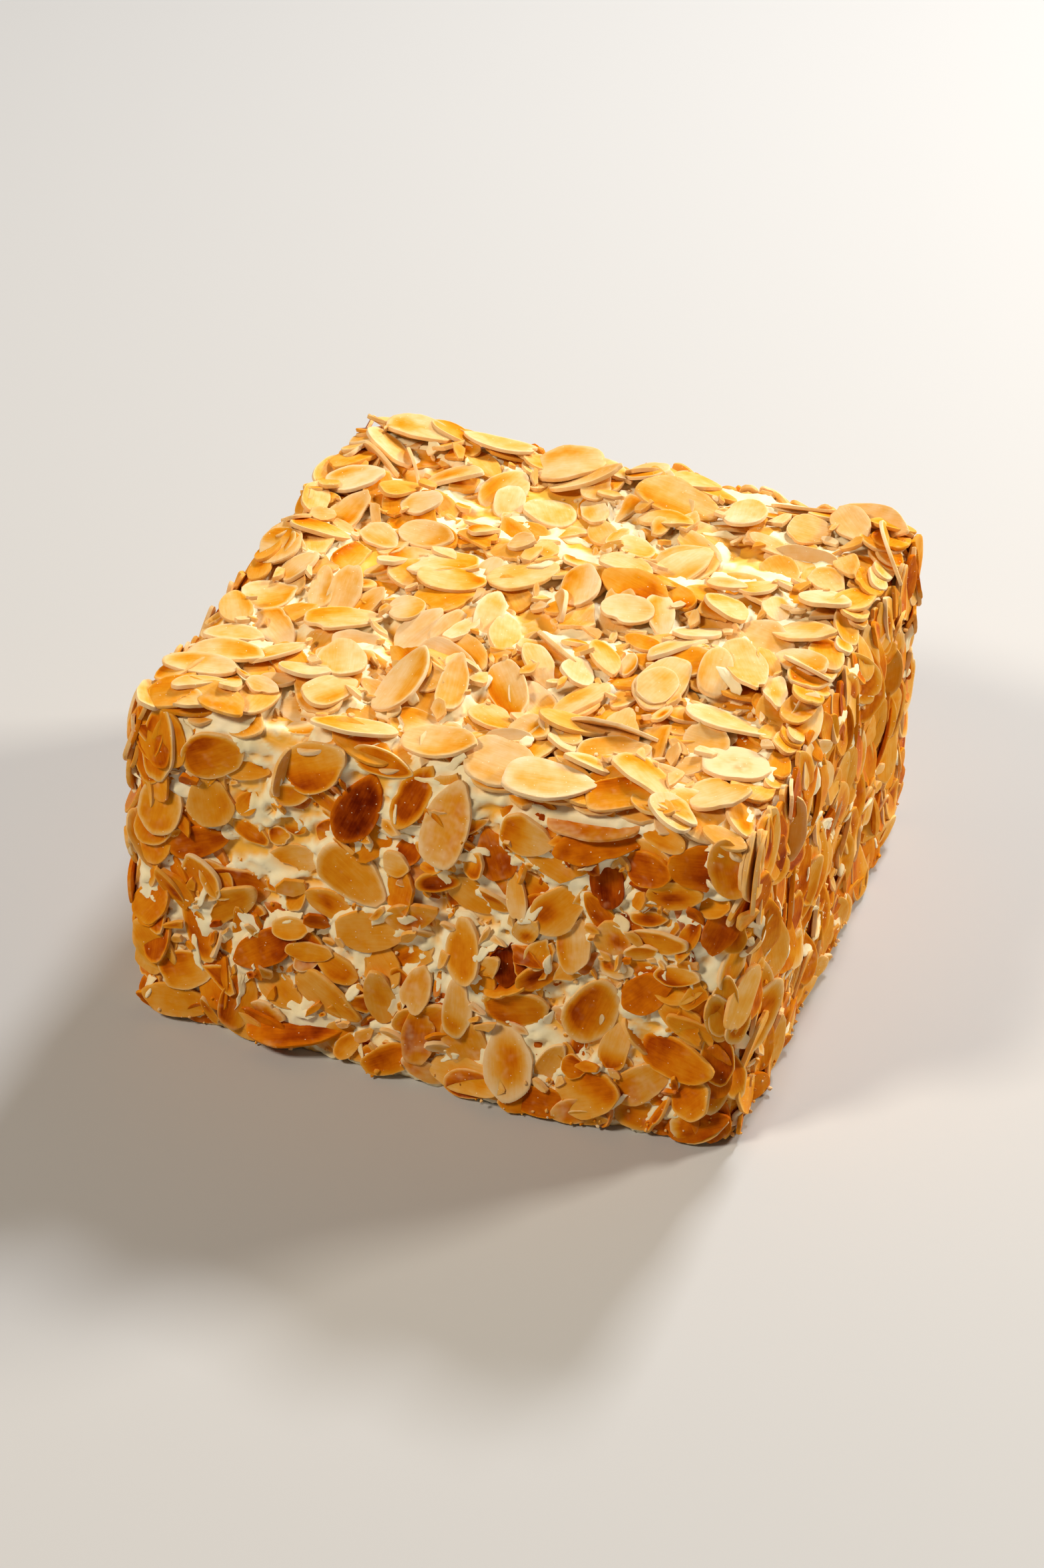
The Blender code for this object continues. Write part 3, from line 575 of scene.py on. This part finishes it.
class Template:
    """Rings of an oval slice, from its upper middle over its edge to its lower middle."""

    def __init__(self, sides, rings):
        self.sides = sides
        self.angles = np.arange(sides) * 2 * math.pi / sides
        self.radii = np.array([radius for radius, _ in rings])
        levels = [level for _, level in rings]
        self.shares = np.append(np.repeat(self.radii, sides), (0.0, 0.0))
        self.levels = np.append(np.repeat(levels, sides), (levels[0], levels[-1]))
        self.triangles = self.make_triangles(len(rings))

    def make_triangles(self, count):
        here = np.arange(count * self.sides).reshape(count, self.sides)
        following = np.roll(here, -1, axis=1)
        upper = np.full(self.sides, here.size)
        parts = [(upper, here[0], following[0])]
        for ring in range(count - 1):
            parts.append((here[ring], here[ring + 1], following[ring + 1]))
            parts.append((here[ring], following[ring + 1], following[ring]))
        parts.append((upper + 1, following[-1], here[-1]))
        return np.concatenate([np.column_stack(part) for part in parts])

    def spread(self, rim):
        """A coordinate of the rim, carried to all the rings and to the two middles."""
        return np.append(np.outer(self.radii, rim).ravel(), (0.0, 0.0))


# Rings as (share of the radius, share of the thickness)
FINE = Template(32, ((0.34, 1.0), (0.62, 1.0), (0.80, 1.0), (0.91, 1.0), (0.98, 0.98),
                     (1.0, 0.84), (1.0, 0.12), (0.93, 0.0)))
PLAIN = Template(24, ((0.60, 1.0), (0.86, 1.0), (0.975, 0.95), (1.0, 0.65), (0.97, 0.0)))
BIT = Template(11, ((0.94, 1.0), (1.0, 0.8), (0.98, 0.0)))
SMEAR = Template(16, ((0.30, 1.0), (0.58, 1.0), (0.80, 0.75), (0.94, 0.35), (1.0, -0.2), (0.85, -1.0)))


def clear_of_table(points):
    lowest = points[:, 2].min() - TABLE_GAP
    if lowest < 0:
        points = points - np.array((0.0, 0.0, lowest))
    return points


class Batch:
    """Many small meshes of one kind, gathered clear of the table and made into one object."""

    def __init__(self):
        self.points, self.triangles, self.values = [], [], []
        self.count = 0

    def add(self, points, triangles, toast=0.0, film=0.0, grain=None):
        points = clear_of_table(points)
        grain = points if grain is None else grain
        values = np.column_stack((np.broadcast_to(toast, len(points)),
                                  np.broadcast_to(film, len(points)), grain))
        self.points.append(points)
        self.triangles.append(triangles + self.count)
        self.values.append(values)
        self.count += len(points)

    def make(self, name, finish):
        triangles = np.concatenate(self.triangles).tolist()
        points, values = np.concatenate(self.points), np.concatenate(self.values)
        make_piece(name, points, triangles, finish, values)


def add_to_scene(name, data):
    made = bpy.data.objects.new(name, data)
    bpy.context.scene.collection.objects.link(made)
    return made


def make_piece(name, points, polygons, finish, values, sharp=40):
    """A piece of the cake as one mesh, riding with it and standing for its solid."""
    mesh = bpy.data.meshes.new(name)
    mesh.from_pydata((points * MM).tolist(), [], polygons)
    for number, kind in enumerate(("toast", "film")):
        layer = mesh.attributes.new(kind, "FLOAT", "POINT")
        layer.data.foreach_set("value", values[:, number].astype(np.float32))
    layer = mesh.attributes.new("grain", "FLOAT_VECTOR", "POINT")
    layer.data.foreach_set("vector", values[:, 2:].ravel().astype(np.float32))
    mesh.shade_smooth()
    mesh.set_sharp_from_angle(angle=math.radians(sharp))
    mesh.materials.append(finish)
    piece = add_to_scene(name, mesh)
    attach(piece, "root")
    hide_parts("cake")


def waves(angles, draw, orders, most):
    """A rim of unit radius with a few drawn waves round it."""
    rim = np.ones_like(angles)
    for order in orders:
        rim += draw.uniform(-most, most) * np.cos(order * angles + draw.uniform(0, FULL_TURN))
    return rim


def outline(template, draw):
    """A pointed oval of unit size with a slightly uneven edge, as x and y."""
    angles = template.angles
    x, y = np.cos(angles), np.sin(angles)
    taper, point = draw.uniform(*TAPER), draw.uniform(*POINT)
    y = np.sign(y) * np.abs(y) ** draw.uniform(*FULLNESS)
    y = y * (1.0 - taper * x - point * np.maximum(0.0, x) ** 3)
    wobble = waves(angles, draw, (2, 3, 4, 5, 7), 0.03)
    wobble += drawn(draw, template.sides, -0.010, 0.010)
    if draw.random() < NICKED:
        middle = draw.uniform(0, FULL_TURN)
        away = np.abs((angles - middle + math.pi) % (2 * math.pi) - math.pi)
        wobble -= draw.uniform(*NICK_DEPTH) * np.exp(-(away / draw.uniform(*NICK_WIDTH)) ** 2)
    return x * wobble, y * wobble


def snapped(x, y, shares, draw):
    """Break one end of the rings off along an uneven line, then stretch what is left."""
    aim = draw.choice((0.0, math.pi)) + draw.uniform(-0.6, 0.6)
    ahead, beside = turned(x, y, aim)
    line = draw.uniform(*BREAK) + 0.05 * np.sin(6 * beside + draw.uniform(0, FULL_TURN))
    line = line + 0.03 * np.sin(15 * beside + draw.uniform(0, FULL_TURN)) - 0.05 * (1.0 - shares)
    over = np.maximum(0.0, ahead - line)
    x, y = x - over * math.cos(aim), y - over * math.sin(aim)
    middle, half = (x.max() + x.min()) / 2, (x.max() - x.min()) / 2
    return (x - middle) / half, y


def flake(template, draw):
    """The outline of a broken flake: a few straight sides with uneven edges, as x and y."""
    sides = draw.randint(*FLAKE_SIDES)
    start = draw.uniform(0, FULL_TURN)
    reach = np.full(template.sides, 1.35)
    for number in range(sides):
        aim = start + (number + draw.uniform(-0.25, 0.25)) * 2 * math.pi / sides
        ahead = np.cos(template.angles - aim)
        near = draw.uniform(*FLAKE_REACH) / np.maximum(ahead, 1e-3)
        reach = np.where(ahead > 0, np.minimum(reach, near), reach)
    reach = reach * drawn(draw, template.sides, 0.95, 1.05)
    x, y = reach * np.cos(template.angles), reach * np.sin(template.angles)
    return x / np.abs(x).max(), y / np.abs(y).max()


def slice_mesh(row, template, matrix, draw, face):
    """Points, toast, film of cream and grain of one almond slice, lying by its matrix."""
    rim_x, rim_y = (flake if row.style == "flake" else outline)(template, draw)
    x, y = template.spread(rim_x), template.spread(rim_y)
    shares, levels = template.shares, template.levels
    if row.style == "broken":
        x, y = snapped(x, y, shares, draw)
    z = levels * THICKNESS * draw.uniform(0.85, 1.12)
    hollow = draw.uniform(*DISH) * min(1.0, row.width / 8.0)
    z = z - hollow * np.clip(1.0 - (shares / RIM) ** 2, 0.0, 1.0) * (levels > 0.9)
    curl = (row.length / 18.0) * CURL[face.name]
    z = z + draw.uniform(-1.3, 0.8) * curl * (x * x - 0.3)
    z = z + draw.uniform(-0.7, 0.7) * curl * x * y
    toast = toast_field(row.toast * TOAST_SHARE[face.name], PATCH[face.name], x, y, shares, draw)
    film = film_field(FILM[face.name], x, y, shares, draw) * (1.0 - toast)
    film = film + (WHITE if row.toast < PALEST else 0.0)
    points = np.column_stack((x * row.length / 2, y * row.width / 2, z))
    grain = points + np.append(drawn(draw, 2, *GRAIN_SHIFT), 0.0)
    lying = points @ np.array(matrix.to_3x3()).T + np.array(matrix.translation)
    return lying, toast, film, grain


def toast_field(toast, patch, x, y, shares, draw):
    """How toasted each point of a slice is: browner all over or at a side or spot, paler rim."""
    ahead, beside = turned(x, y, draw.uniform(0, FULL_TURN))
    kind = draw.random()
    if kind < EVEN_SHARE:
        brown = 0.4 * smooth_step(-1.0, 1.0, ahead)
    elif kind < EVEN_SHARE + SIDED_SHARE:
        brown = smooth_step(draw.uniform(-0.8, 0.1), 0.9, ahead)
    else:
        brown = 1.0 - smooth_step(0.1, 0.8, np.hypot(ahead - draw.uniform(0, 0.6), beside))
    browner = draw.uniform(*patch) * max(0.15, 1.15 - toast)
    inside = np.minimum(MOST_TOAST, 0.88 * toast + browner * brown)
    rim = toast * draw.uniform(*RIM_TOAST)
    inner = 1.0 - smooth_step(draw.uniform(0.60, 0.92), 1.0, shares)
    return rim + (np.maximum(inside, rim) - rim) * inner


def film_field(most, x, y, shares, draw):
    """How much cream clings to each point of a slice: a thin film, and more on part of its rim."""
    ahead, _ = turned(x, y, draw.uniform(0, FULL_TURN))
    on_rim = draw.uniform(0.0, most[1]) * smooth_step(0.72, 1.0, shares)
    return most[0] * draw.random() ** 5 + on_rim * smooth_step(-0.6, 0.6, ahead)


def add_slice(batch, row, template, matrix, draw, face):
    """Gather the mesh of a slice, unless it found no rest."""
    if matrix is not None:
        points, *values = slice_mesh(row, template, matrix, draw, face)
        batch.add(points, template.triangles, *values)


def lean_slice(face, row, draw):
    """A slice that stands on its long edge, so that it looks narrow from outside."""
    true_width = row.length * TRUE_SLENDERNESS
    roll = math.acos(min(0.98, row.width / true_width)) * draw.choice((-1, 1))
    matrix = face.rest(row)
    if matrix is None:
        return None, row
    lift = Matrix.Translation((0.0, 0.0, -LEAN_SINK * true_width * abs(math.sin(roll))))
    standing = matrix @ lift @ Matrix.Rotation(roll, 4, "X")
    return standing, row._replace(width=true_width)


def lay_rows(face, rows, batch, kind, template, overhang, mark):
    """Lay slices on a face one after the other, and gather their meshes."""
    draw = face.draw(kind)
    for row in rows:
        if row.width < LEANING * row.length:
            matrix, row = lean_slice(face, row, draw)
        else:
            calm = EDGE_CALM if face.is_near_edge(row.across, row.up) else 1.0
            extra = [calm * draw.uniform(*slopes) for slopes in LOOSE_TILT[face.name]]
            if row.style == "shelf":
                extra[1] -= SHELF_SLOPE
            matrix = face.rest(row, extra, overhang, mark)
        add_slice(batch, row, template, matrix, draw, face)


def make_almonds(faces, finish):
    """The slices of each face: the lower layer, those along its edges, then the whole ones."""
    for face in faces:
        batch = Batch()
        lay_rows(face, under_rows(face), batch, "lay under", PLAIN, UNDER_OVERHANG, LOWER)
        edge_overhang = UNDER_OVERHANG if face.lies_flat else EDGE_OVERHANG
        lay_rows(face, edge_rows(face), batch, "lay edge", PLAIN, edge_overhang, UPPER)
        rows = spread_slices(face, *RULED[face.name])
        rows += [Row(*values) for values in LISTED.get(face.name, ())]
        lay_rows(face, rows, batch, "lay whole", FINE, OVERHANG, UPPER)
        batch.make(f"almond_slices_{face.name}", finish)
        face.around = blurred(face.height, AROUND / CELL)


def hollow_place(face, draw):
    """The lowest of a few drawn places, against the slices round it."""
    a = drawn(draw, HOLLOW_TRIES, face.left, face.right)
    b = drawn(draw, HOLLOW_TRIES, face.low, face.high)
    depth = face.level_at(a, b) - face.level_at(a, b, face.around)
    lowest = int(depth.argmin())
    return a[lowest], b[lowest]


def make_bits(faces, finish):
    """Broken bits of slices, lying in the hollows between the others."""
    batch = Batch()
    shortest, longest = BIT_LENGTHS
    for face in faces:
        draw = face.draw("bits")
        for _ in range(BITS[face.name]):
            a, b = hollow_place(face, draw)
            length = shortest + (longest - shortest) * draw.random() ** 2
            row = Row(a, b, length, length * draw.uniform(*BIT_SLENDERNESS),
                      draw.uniform(0, 180), draw.uniform(*BIT_TOAST), "flake")
            tilt = drawn(draw, 2, -BIT_TILT, BIT_TILT)
            add_slice(batch, row, BIT, face.rest(row, tilt), draw, face)
    batch.make("almond_bits", finish)


def lump():
    """Points and triangles of a small faceted lump of unit size."""
    work = bmesh.new()
    bmesh.ops.create_icosphere(work, subdivisions=1, radius=1.0)
    points = np.array([vert.co for vert in work.verts])
    triangles = np.array([[vert.index for vert in face.verts] for face in work.faces])
    work.free()
    return points, triangles


def make_crumbs(faces, finish):
    """Crumbs in the hollows, and a rim of them round the foot."""
    batch = Batch()
    unit, triangles = lump()
    for face in faces:
        draw = face.draw("crumbs")
        for count in range(CRUMBS[face.name]):
            if face.lies_flat or count % FOOT_CRUMBS:
                a, b = hollow_place(face, draw)
            else:
                a = draw.uniform(face.left, face.right)
                b = min(face.low + draw.expovariate(1.0 / FOOT_SPREAD), face.high)
            size = draw.uniform(0.2, 0.5) + 0.5 * draw.random() ** 4
            level = float(face.level_at(np.array(a), np.array(b)))
            if level < OFF_FACE / 2:
                continue
            uneven = drawn(draw, unit.size, *CRUMB_UNEVEN).reshape(unit.shape)
            spot = face.origin + face.frame @ Vector((a, b, level + CRUMB_LIFT * size))
            batch.add(unit * uneven * size + spot, triangles, draw.uniform(*CRUMB_TOAST))
    batch.make("crumbs", finish)


def cream_lattice():
    """A box of quads over the block's five shown faces, as grid places, quads and counts."""
    nx, ny, nz = counts = [round(length / step) for length, step in
                           zip((WIDTH, BACK - FRONT, HEIGHT), LATTICE)]
    # Each sheet as its first corner, its two ways and its number of quads along them
    sheets = (((0, 0, 0), (1, 0, 0), (0, 0, 1), nx, nz),
              ((nx, 0, 0), (0, 1, 0), (0, 0, 1), ny, nz),
              ((nx, ny, 0), (-1, 0, 0), (0, 0, 1), nx, nz),
              ((0, ny, 0), (0, -1, 0), (0, 0, 1), ny, nz),
              ((0, 0, nz), (1, 0, 0), (0, 1, 0), nx, ny))
    corners, quads, used = [], [], 0
    for origin, across, up, size_a, size_b in sheets:
        i, j = np.meshgrid(np.arange(size_a + 1), np.arange(size_b + 1), indexing="ij")
        grid = np.array(origin) + i[..., None] * np.array(across) + j[..., None] * np.array(up)
        index = used + i * (size_b + 1) + j
        corners.append(grid.reshape(-1, 3))
        quads.append(np.stack((index[:-1, :-1], index[1:, :-1], index[1:, 1:], index[:-1, 1:]),
                              axis=-1).reshape(-1, 4))
        used += index.size
    corners = np.concatenate(corners)
    _, first, inverse = np.unique(corners, axis=0, return_index=True, return_inverse=True)
    return corners[first], inverse.ravel()[np.concatenate(quads)], counts


def foot_loop(places, counts):
    """The corners round the foot of the lattice, in order, for the face it stands on."""
    nx, ny, _ = counts
    index = {tuple(place): number for number, place in enumerate(places.tolist())}
    walk = [(i, 0) for i in range(nx)] + [(nx, j) for j in range(ny)]
    walk += [(i, ny) for i in range(nx, 0, -1)] + [(0, j) for j in range(ny, 0, -1)]
    return [index[(i, j, 0)] for i, j in reversed(walk)]


def noise_at(point, grains, shift):
    return noise.noise([place / grain + move for place, grain, move in zip(point, grains, shift)])


def relief(points):
    """Small unevenness of the cream, without the almonds."""
    grains, shift, ridge_height = RIDGES
    heights = []
    for point in points.tolist():
        swell = sum(height * noise_at(point, *field) for *field, height in RELIEF)
        ridge = 1.0 - abs(noise_at(point, grains, shift)) * 2.0
        heights.append(swell + ridge_height * ridge ** 3)
    return np.array(heights)


def cream_rise(face):
    """Two maps of a face: how far its cream stands above the block, and the most it may."""
    depth = UNDER[face.name].depth
    over = np.where(face.bare > OFF_FACE / 2, face.height - face.bare, -depth)
    rise = np.clip(blurred(over, VALLEY / CELL) - GAP_DEPTH[face.name], -depth, MOST_RISE)
    a, b = face.grid
    bare = np.zeros_like(rise)
    for x, y, w, h in BARE[face.name]:
        bare = np.maximum(bare, np.exp(-((a - x) / w) ** 2 - ((b - y) / h) ** 2))
    rise = np.maximum(rise, BARE_LEVEL - (depth + 1.0) * (1.0 - bare))
    share = blurred((face.covered > 0).astype(float), LIP_WIDTH / CELL)
    edge = 4.0 * share * (1.0 - share)
    patchy = np.array([[noise.noise((x / PATCH_SIZE, y / PATCH_SIZE, face.noise_shift))
                        for y in face.b] for x in face.a])
    lip = edge * smooth_step(*LIP_NOISE, patchy)
    buried = np.maximum(smooth_step(*BURIED_NOISE, patchy), bare)
    ceiling = face.ceiling - face.bare
    ceiling += (face.covered == LOWER) * BURIED[face.name] * buried
    return rise + LIP[face.name] * lip, np.minimum(ceiling, HIGH)


def rounded_block(places, counts):
    """Points of the plain rounded block at places of the lattice, and the ways out of them."""
    low = np.array((-WIDTH / 2, FRONT, 0.0))
    high = np.array((WIDTH / 2, BACK, HEIGHT))
    points = low + places * (high - low) / np.array(counts)
    innermost = (low[0] + EDGE_RADIUS, low[1] + EDGE_RADIUS, -math.inf)
    inner = np.clip(points, innermost, high - EDGE_RADIUS)
    ways = points - inner
    ways[:, 2] = np.maximum(ways[:, 2], 0.0)
    ways /= np.linalg.norm(ways, axis=1)[:, None]
    return inner + ways * EDGE_RADIUS, ways


def make_cream(faces, finish):
    """The block of cream: uneven, hollow between the slices and squeezed up along them."""
    places, quads, counts = cream_lattice()
    rounded, ways = rounded_block(places, counts)
    total, most = relief(rounded), np.zeros(len(places))
    for face in faces:
        across, up, out = np.array(face.frame).T
        share = np.maximum(0.0, ways @ out) ** 2
        from_face = rounded - np.array(face.origin)
        a = np.clip(from_face @ across, face.left, face.right)
        b = np.clip(from_face @ up, face.low, face.high)
        rise, ceiling = cream_rise(face)
        total += share * face.level_at(a, b, rise)
        most += share * face.level_at(a, b, ceiling)
    total -= EDGE_DROP * 2.0 * (1.0 - np.max(ways ** 2, axis=1))
    total = np.minimum(total, most)
    # Painted shade: cream that lies low, in the hollows between the slices, is drawn more amber
    painted_shade = smooth_step(*PAINTED_SHADE_DEPTHS, -total)
    settled = settle(rounded + ways * total[:, None])
    settled[places[:, 2] == 0, 2] = 0.0
    polygons = quads.tolist() + [foot_loop(places, counts)]
    values = np.column_stack((painted_shade, np.zeros_like(painted_shade), rounded))
    make_piece("buttercream", settled, polygons, finish, values, sharp=180)


def rim_places(face):
    """Where the slices of a face have their rims, and which way each rim runs."""
    slope_a, slope_b = np.gradient(blurred(face.height, 0.6), CELL)
    a, b = face.grid
    inside = (a > face.left + 1) & (a < face.right - 1) & (b > face.low + 1) & (b < face.high - 1)
    rims = inside & (np.hypot(slope_a, slope_b) > RIM_STEP)
    return a[rims], b[rims], np.arctan2(slope_b[rims], slope_a[rims]) + math.pi / 2


def smear(face, soft, a0, b0, turn, draw):
    """Points of a small ridge of cream that follows the slices it lies on."""
    length, width = draw.uniform(*SMEAR_LENGTHS), draw.uniform(*SMEAR_WIDTHS)
    reach = waves(SMEAR.angles, draw, (2, 3, 5), 0.14)
    x = SMEAR.spread(reach * np.cos(SMEAR.angles)) * length / 2
    y = SMEAR.spread(reach * np.sin(SMEAR.angles)) * width / 2
    y = y + draw.uniform(-0.05, 0.05) * x * x + 0.3 * np.sin(x * draw.uniform(0.8, 2.0))
    a, b = turned(x, y, -turn)
    a, b = a0 + a, b0 + b
    height = draw.uniform(*SMEAR_HEIGHTS) * drawn(draw, len(a), 0.8, 1.2)
    levels = SMEAR.levels
    level = face.level_at(a, b, soft) + np.where(levels > 0, height, SMEAR_DEPTH) * levels
    return np.array(face.origin) + np.column_stack((a, b, level)) @ np.array(face.frame).T


def make_smears(faces, finish):
    """Ridges of cream over the rims of the slices, where they were pressed in."""
    batch = Batch()
    for face in faces:
        draw = face.draw("smears")
        soft = blurred(np.maximum(face.height, -EDGE_RADIUS), 2.0)
        places = list(zip(*rim_places(face)))
        for _ in range(SMEARS[face.name]):
            a, b, turn = draw.choice(places)
            turn += draw.uniform(-SMEAR_TURN, SMEAR_TURN)
            points = smear(face, soft, a, b, turn, draw)
            batch.add(points, SMEAR.triangles, draw.uniform(*SMEAR_TOAST))
    batch.make("cream_smears", finish)


# Colours, from pale flesh to dark brown; of the film of cream; of the painted glints of oil; of cream;
# and of the painted warm shade in the cream's hollows
ALMOND_COLOURS = (
    (0.00, (0.90, 0.68, 0.42)), (0.15, (0.87, 0.56, 0.24)), (0.30, (0.83, 0.415, 0.075)),
    (0.45, (0.79, 0.30, 0.012)), (0.60, (0.68, 0.175, 0.003)), (0.75, (0.43, 0.070, 0.002)),
    (0.90, (0.17, 0.015, 0.001)), (1.00, (0.07, 0.005, 0.001)))
FILM_COLOUR = (0.93, 0.66, 0.38)
PAINTED_GLINT_COLOUR = (0.96, 0.80, 0.55)
CREAM_COLOURS = ((0.3, (0.98, 0.83, 0.50)), (0.7, (1.0, 0.93, 0.70)))
# Painted warm shade for the cream's hollows
PAINTED_SHADE_COLOUR = (0.97, 0.50, 0.06)
SCATTERING = (1.0, 0.9, 0.7)


class Finish:
    """A procedural material in the making, whose nodes end in one Principled BSDF."""

    def __init__(self, name):
        self.material = bpy.data.materials.new(name)
        self.material.use_nodes = True
        self.tree = self.material.node_tree
        self.shader = self.tree.nodes["Principled BSDF"]

    def feed(self, node, inputs):
        """Give each input a value, or link it to the output of another node."""
        for name, value in inputs.items():
            if isinstance(value, bpy.types.NodeSocket):
                self.tree.links.new(value, node.inputs[name])
            else:
                node.inputs[name].default_value = value

    def node(self, kind, inputs, output, **settings):
        """The output of a new node with these inputs and settings."""
        made = self.tree.nodes.new("ShaderNode" + kind)
        for name, value in settings.items():
            setattr(made, name, value)
        self.feed(made, inputs)
        return made.outputs[output]

    def attribute(self, name, output="Fac"):
        return self.node("Attribute", {}, output, attribute_name=name)

    def noise(self, source, scale, detail):
        return self.node("TexNoise", {"Vector": source, "Scale": scale, "Detail": detail}, "Fac")

    def multiply_add(self, value, factor, addend):
        inputs = {0: value, 1: factor, 2: addend}
        return self.node("Math", inputs, "Value", operation="MULTIPLY_ADD")

    def mixed(self, share, first, colour):
        """From the first colour to a fixed one with the share."""
        inputs = {"Factor": share, "A": first, "B": (*colour, 1.0)}
        return self.node("Mix", inputs, "Result", data_type="RGBA")

    def threshold(self, value, low, high):
        inputs = {"Value": value, "From Min": low, "From Max": high}
        return self.node("MapRange", inputs, "Result", interpolation_type="SMOOTHSTEP")

    def ramp(self, share, stops):
        colour = self.node("ValToRGB", {"Fac": share}, "Color")
        elements = colour.node.color_ramp.elements
        while len(elements) < len(stops):
            elements.new(0.5)
        for element, (place, stop) in zip(elements, stops):
            element.position = place
            element.color = (*stop, 1.0)
        return colour

    def bump(self, height, strength, distance):
        inputs = {"Strength": strength, "Distance": distance * MM, "Height": height}
        return self.node("Bump", inputs, "Normal")


def almond_material():
    """Toasted flesh with fibres along the slice, a thin film of cream, and painted glints of oil."""
    finish = Finish("toasted_almond")
    grain = finish.attribute("grain", "Vector")
    stretch = {0: grain, 1: (0.16, 1.5, 1.0)}
    stretched = finish.node("VectorMath", stretch, "Vector", operation="MULTIPLY")
    fibre = finish.noise(stretched, 1.4, 2.0)
    mottle = finish.noise(grain, 0.30, 3.0)
    blotch = finish.noise(grain, 0.45, 1.0)

    # The two noises add 0.24 on average, and the last step takes that off again
    toast = finish.multiply_add(mottle, 0.34, finish.attribute("toast"))
    toast = finish.multiply_add(fibre, 0.14, toast)
    toast = finish.multiply_add(toast, 1.0, -0.24)
    film = finish.multiply_add(blotch, 0.9, finish.attribute("film"))
    film = finish.threshold(film, 0.55, 1.45)
    colour = finish.mixed(film, finish.ramp(toast, ALMOND_COLOURS), FILM_COLOUR)
    # Painted glints: small pale dots over the slices that stand in for highlights on their oil
    painted_glints = finish.node("TexVoronoi", {"Vector": grain, "Scale": 0.55}, "Distance")
    colour = finish.mixed(finish.threshold(painted_glints, 0.09, 0.05), colour, PAINTED_GLINT_COLOUR)
    finish.feed(finish.shader, {
        "Base Color": colour,
        "Normal": finish.bump(fibre, 0.35, 0.12),
        "Roughness": 0.35,
        "IOR": 1.06,
        "Specular Tint": (1.0, 0.85, 0.65, 1.0),
        "Subsurface Weight": 0.20,
        "Subsurface Radius": SCATTERING,
        "Subsurface Scale": 0.6 * MM,
    })
    return finish.material


def cream_material():
    """Ivory buttercream with paler and yellower patches, and a painted warm shade in its hollows."""
    finish = Finish("buttercream")
    place = finish.node("TexCoord", {}, "Object")
    patches = finish.noise(place, 140.0, 4.0)
    cream = finish.ramp(patches, CREAM_COLOURS)
    # The cream's toast attribute carries the painted warm shade of its hollows, and on the smears a drawn
    # share of the same amber
    colour = finish.mixed(finish.attribute("toast"), cream, PAINTED_SHADE_COLOUR)
    finish.feed(finish.shader, {
        "Base Color": colour,
        "Normal": finish.bump(finish.noise(place, 420.0, 4.0), 0.3, 0.4),
        "Roughness": 0.45,
        "IOR": 1.25,
        "Subsurface Weight": 0.15,
        "Subsurface Radius": SCATTERING,
        "Subsurface Scale": 0.8 * MM,
    })
    return finish.material


# The photograph's viewpoint
CAMERA_SPOT = (237.72, -661.83, 550.07)
CAMERA_AZIMUTH = 20.03
CAMERA_ELEVATION = 36.14
CAMERA_ROLL = 1.22
LENS = 81.60
SENSOR = 36.0

# Square lights that face the cake as (name, azimuth, elevation, distance and size in metres,
# power, colour)
LIGHTS = (
    ("key", 172, 46, 1.4, 0.22, 14.6, (1.0, 0.99, 0.96)),
    ("fill", -40, 48, 1.6, 0.30, 15.2, (1.0, 0.87, 0.68)),
    ("side", 131, 30, 1.4, 0.25, 15.5, (1.0, 0.91, 0.74)),
)
ROOM_COLOUR = (1.0, 0.87, 0.74, 1.0)
ROOM_STRENGTH = 0.07
FLOOR_COLOUR = (0.52, 0.53, 0.56, 1.0)
FLOOR_REACH = 4.0  # in metres, as the next
FLOOR_DROP = 0.0002


def way_to(azimuth, elevation):
    """The direction of a place round the cake, azimuth 0 in front and 90 to its right."""
    azimuth, elevation = math.radians(azimuth), math.radians(elevation)
    return Vector((math.sin(azimuth) * math.cos(elevation),
                   -math.cos(azimuth) * math.cos(elevation), math.sin(elevation)))


def make_camera():
    back = way_to(CAMERA_AZIMUTH, CAMERA_ELEVATION)
    right = Vector((*heading(CAMERA_AZIMUTH), 0.0))
    right = Matrix.Rotation(math.radians(CAMERA_ROLL), 3, back) @ right
    data = bpy.data.cameras.new("camera")
    data.lens = LENS
    data.sensor_width = SENSOR
    camera = add_to_scene("camera", data)
    axes = Matrix((right, back.cross(right), back)).transposed().to_4x4()
    camera.matrix_world = Matrix.Translation(Vector(CAMERA_SPOT) * MM) @ axes
    bpy.context.scene.camera = camera


def make_lights():
    for name, azimuth, elevation, distance, size, power, colour in LIGHTS:
        way = way_to(azimuth, elevation)
        data = bpy.data.lights.new(name, "AREA")
        data.size = size
        data.energy = power
        data.color = colour
        light = add_to_scene(name, data)
        light.location = way * distance
        light.rotation_euler = way.to_track_quat("Z", "Y").to_euler()


def make_floor():
    mesh = bpy.data.meshes.new("floor")
    corners = [(-1, -1, 0), (1, -1, 0), (1, 1, 0), (-1, 1, 0)]
    mesh.from_pydata([Vector(corner) * FLOOR_REACH for corner in corners], [], [(0, 1, 2, 3)])
    finish = Finish("floor")
    finish.feed(finish.shader, {"Base Color": FLOOR_COLOUR, "Roughness": 0.7})
    mesh.materials.append(finish.material)
    floor = add_to_scene("floor", mesh)
    floor.location.z = -FLOOR_DROP


def make_room():
    world = bpy.data.worlds.new("room")
    world.use_nodes = True
    background = world.node_tree.nodes["Background"]
    background.inputs["Color"].default_value = ROOM_COLOUR
    background.inputs["Strength"].default_value = ROOM_STRENGTH
    bpy.context.scene.world = world
    bpy.context.scene.view_settings.view_transform = "Standard"


def main():
    almond, cream = almond_material(), cream_material()
    faces = make_faces()
    make_almonds(faces, almond)
    make_bits(faces, almond)
    make_cream(faces, cream)
    make_smears(faces, cream)
    make_crumbs(faces, almond)
    make_camera()
    make_floor()
    make_lights()
    make_room()


main()
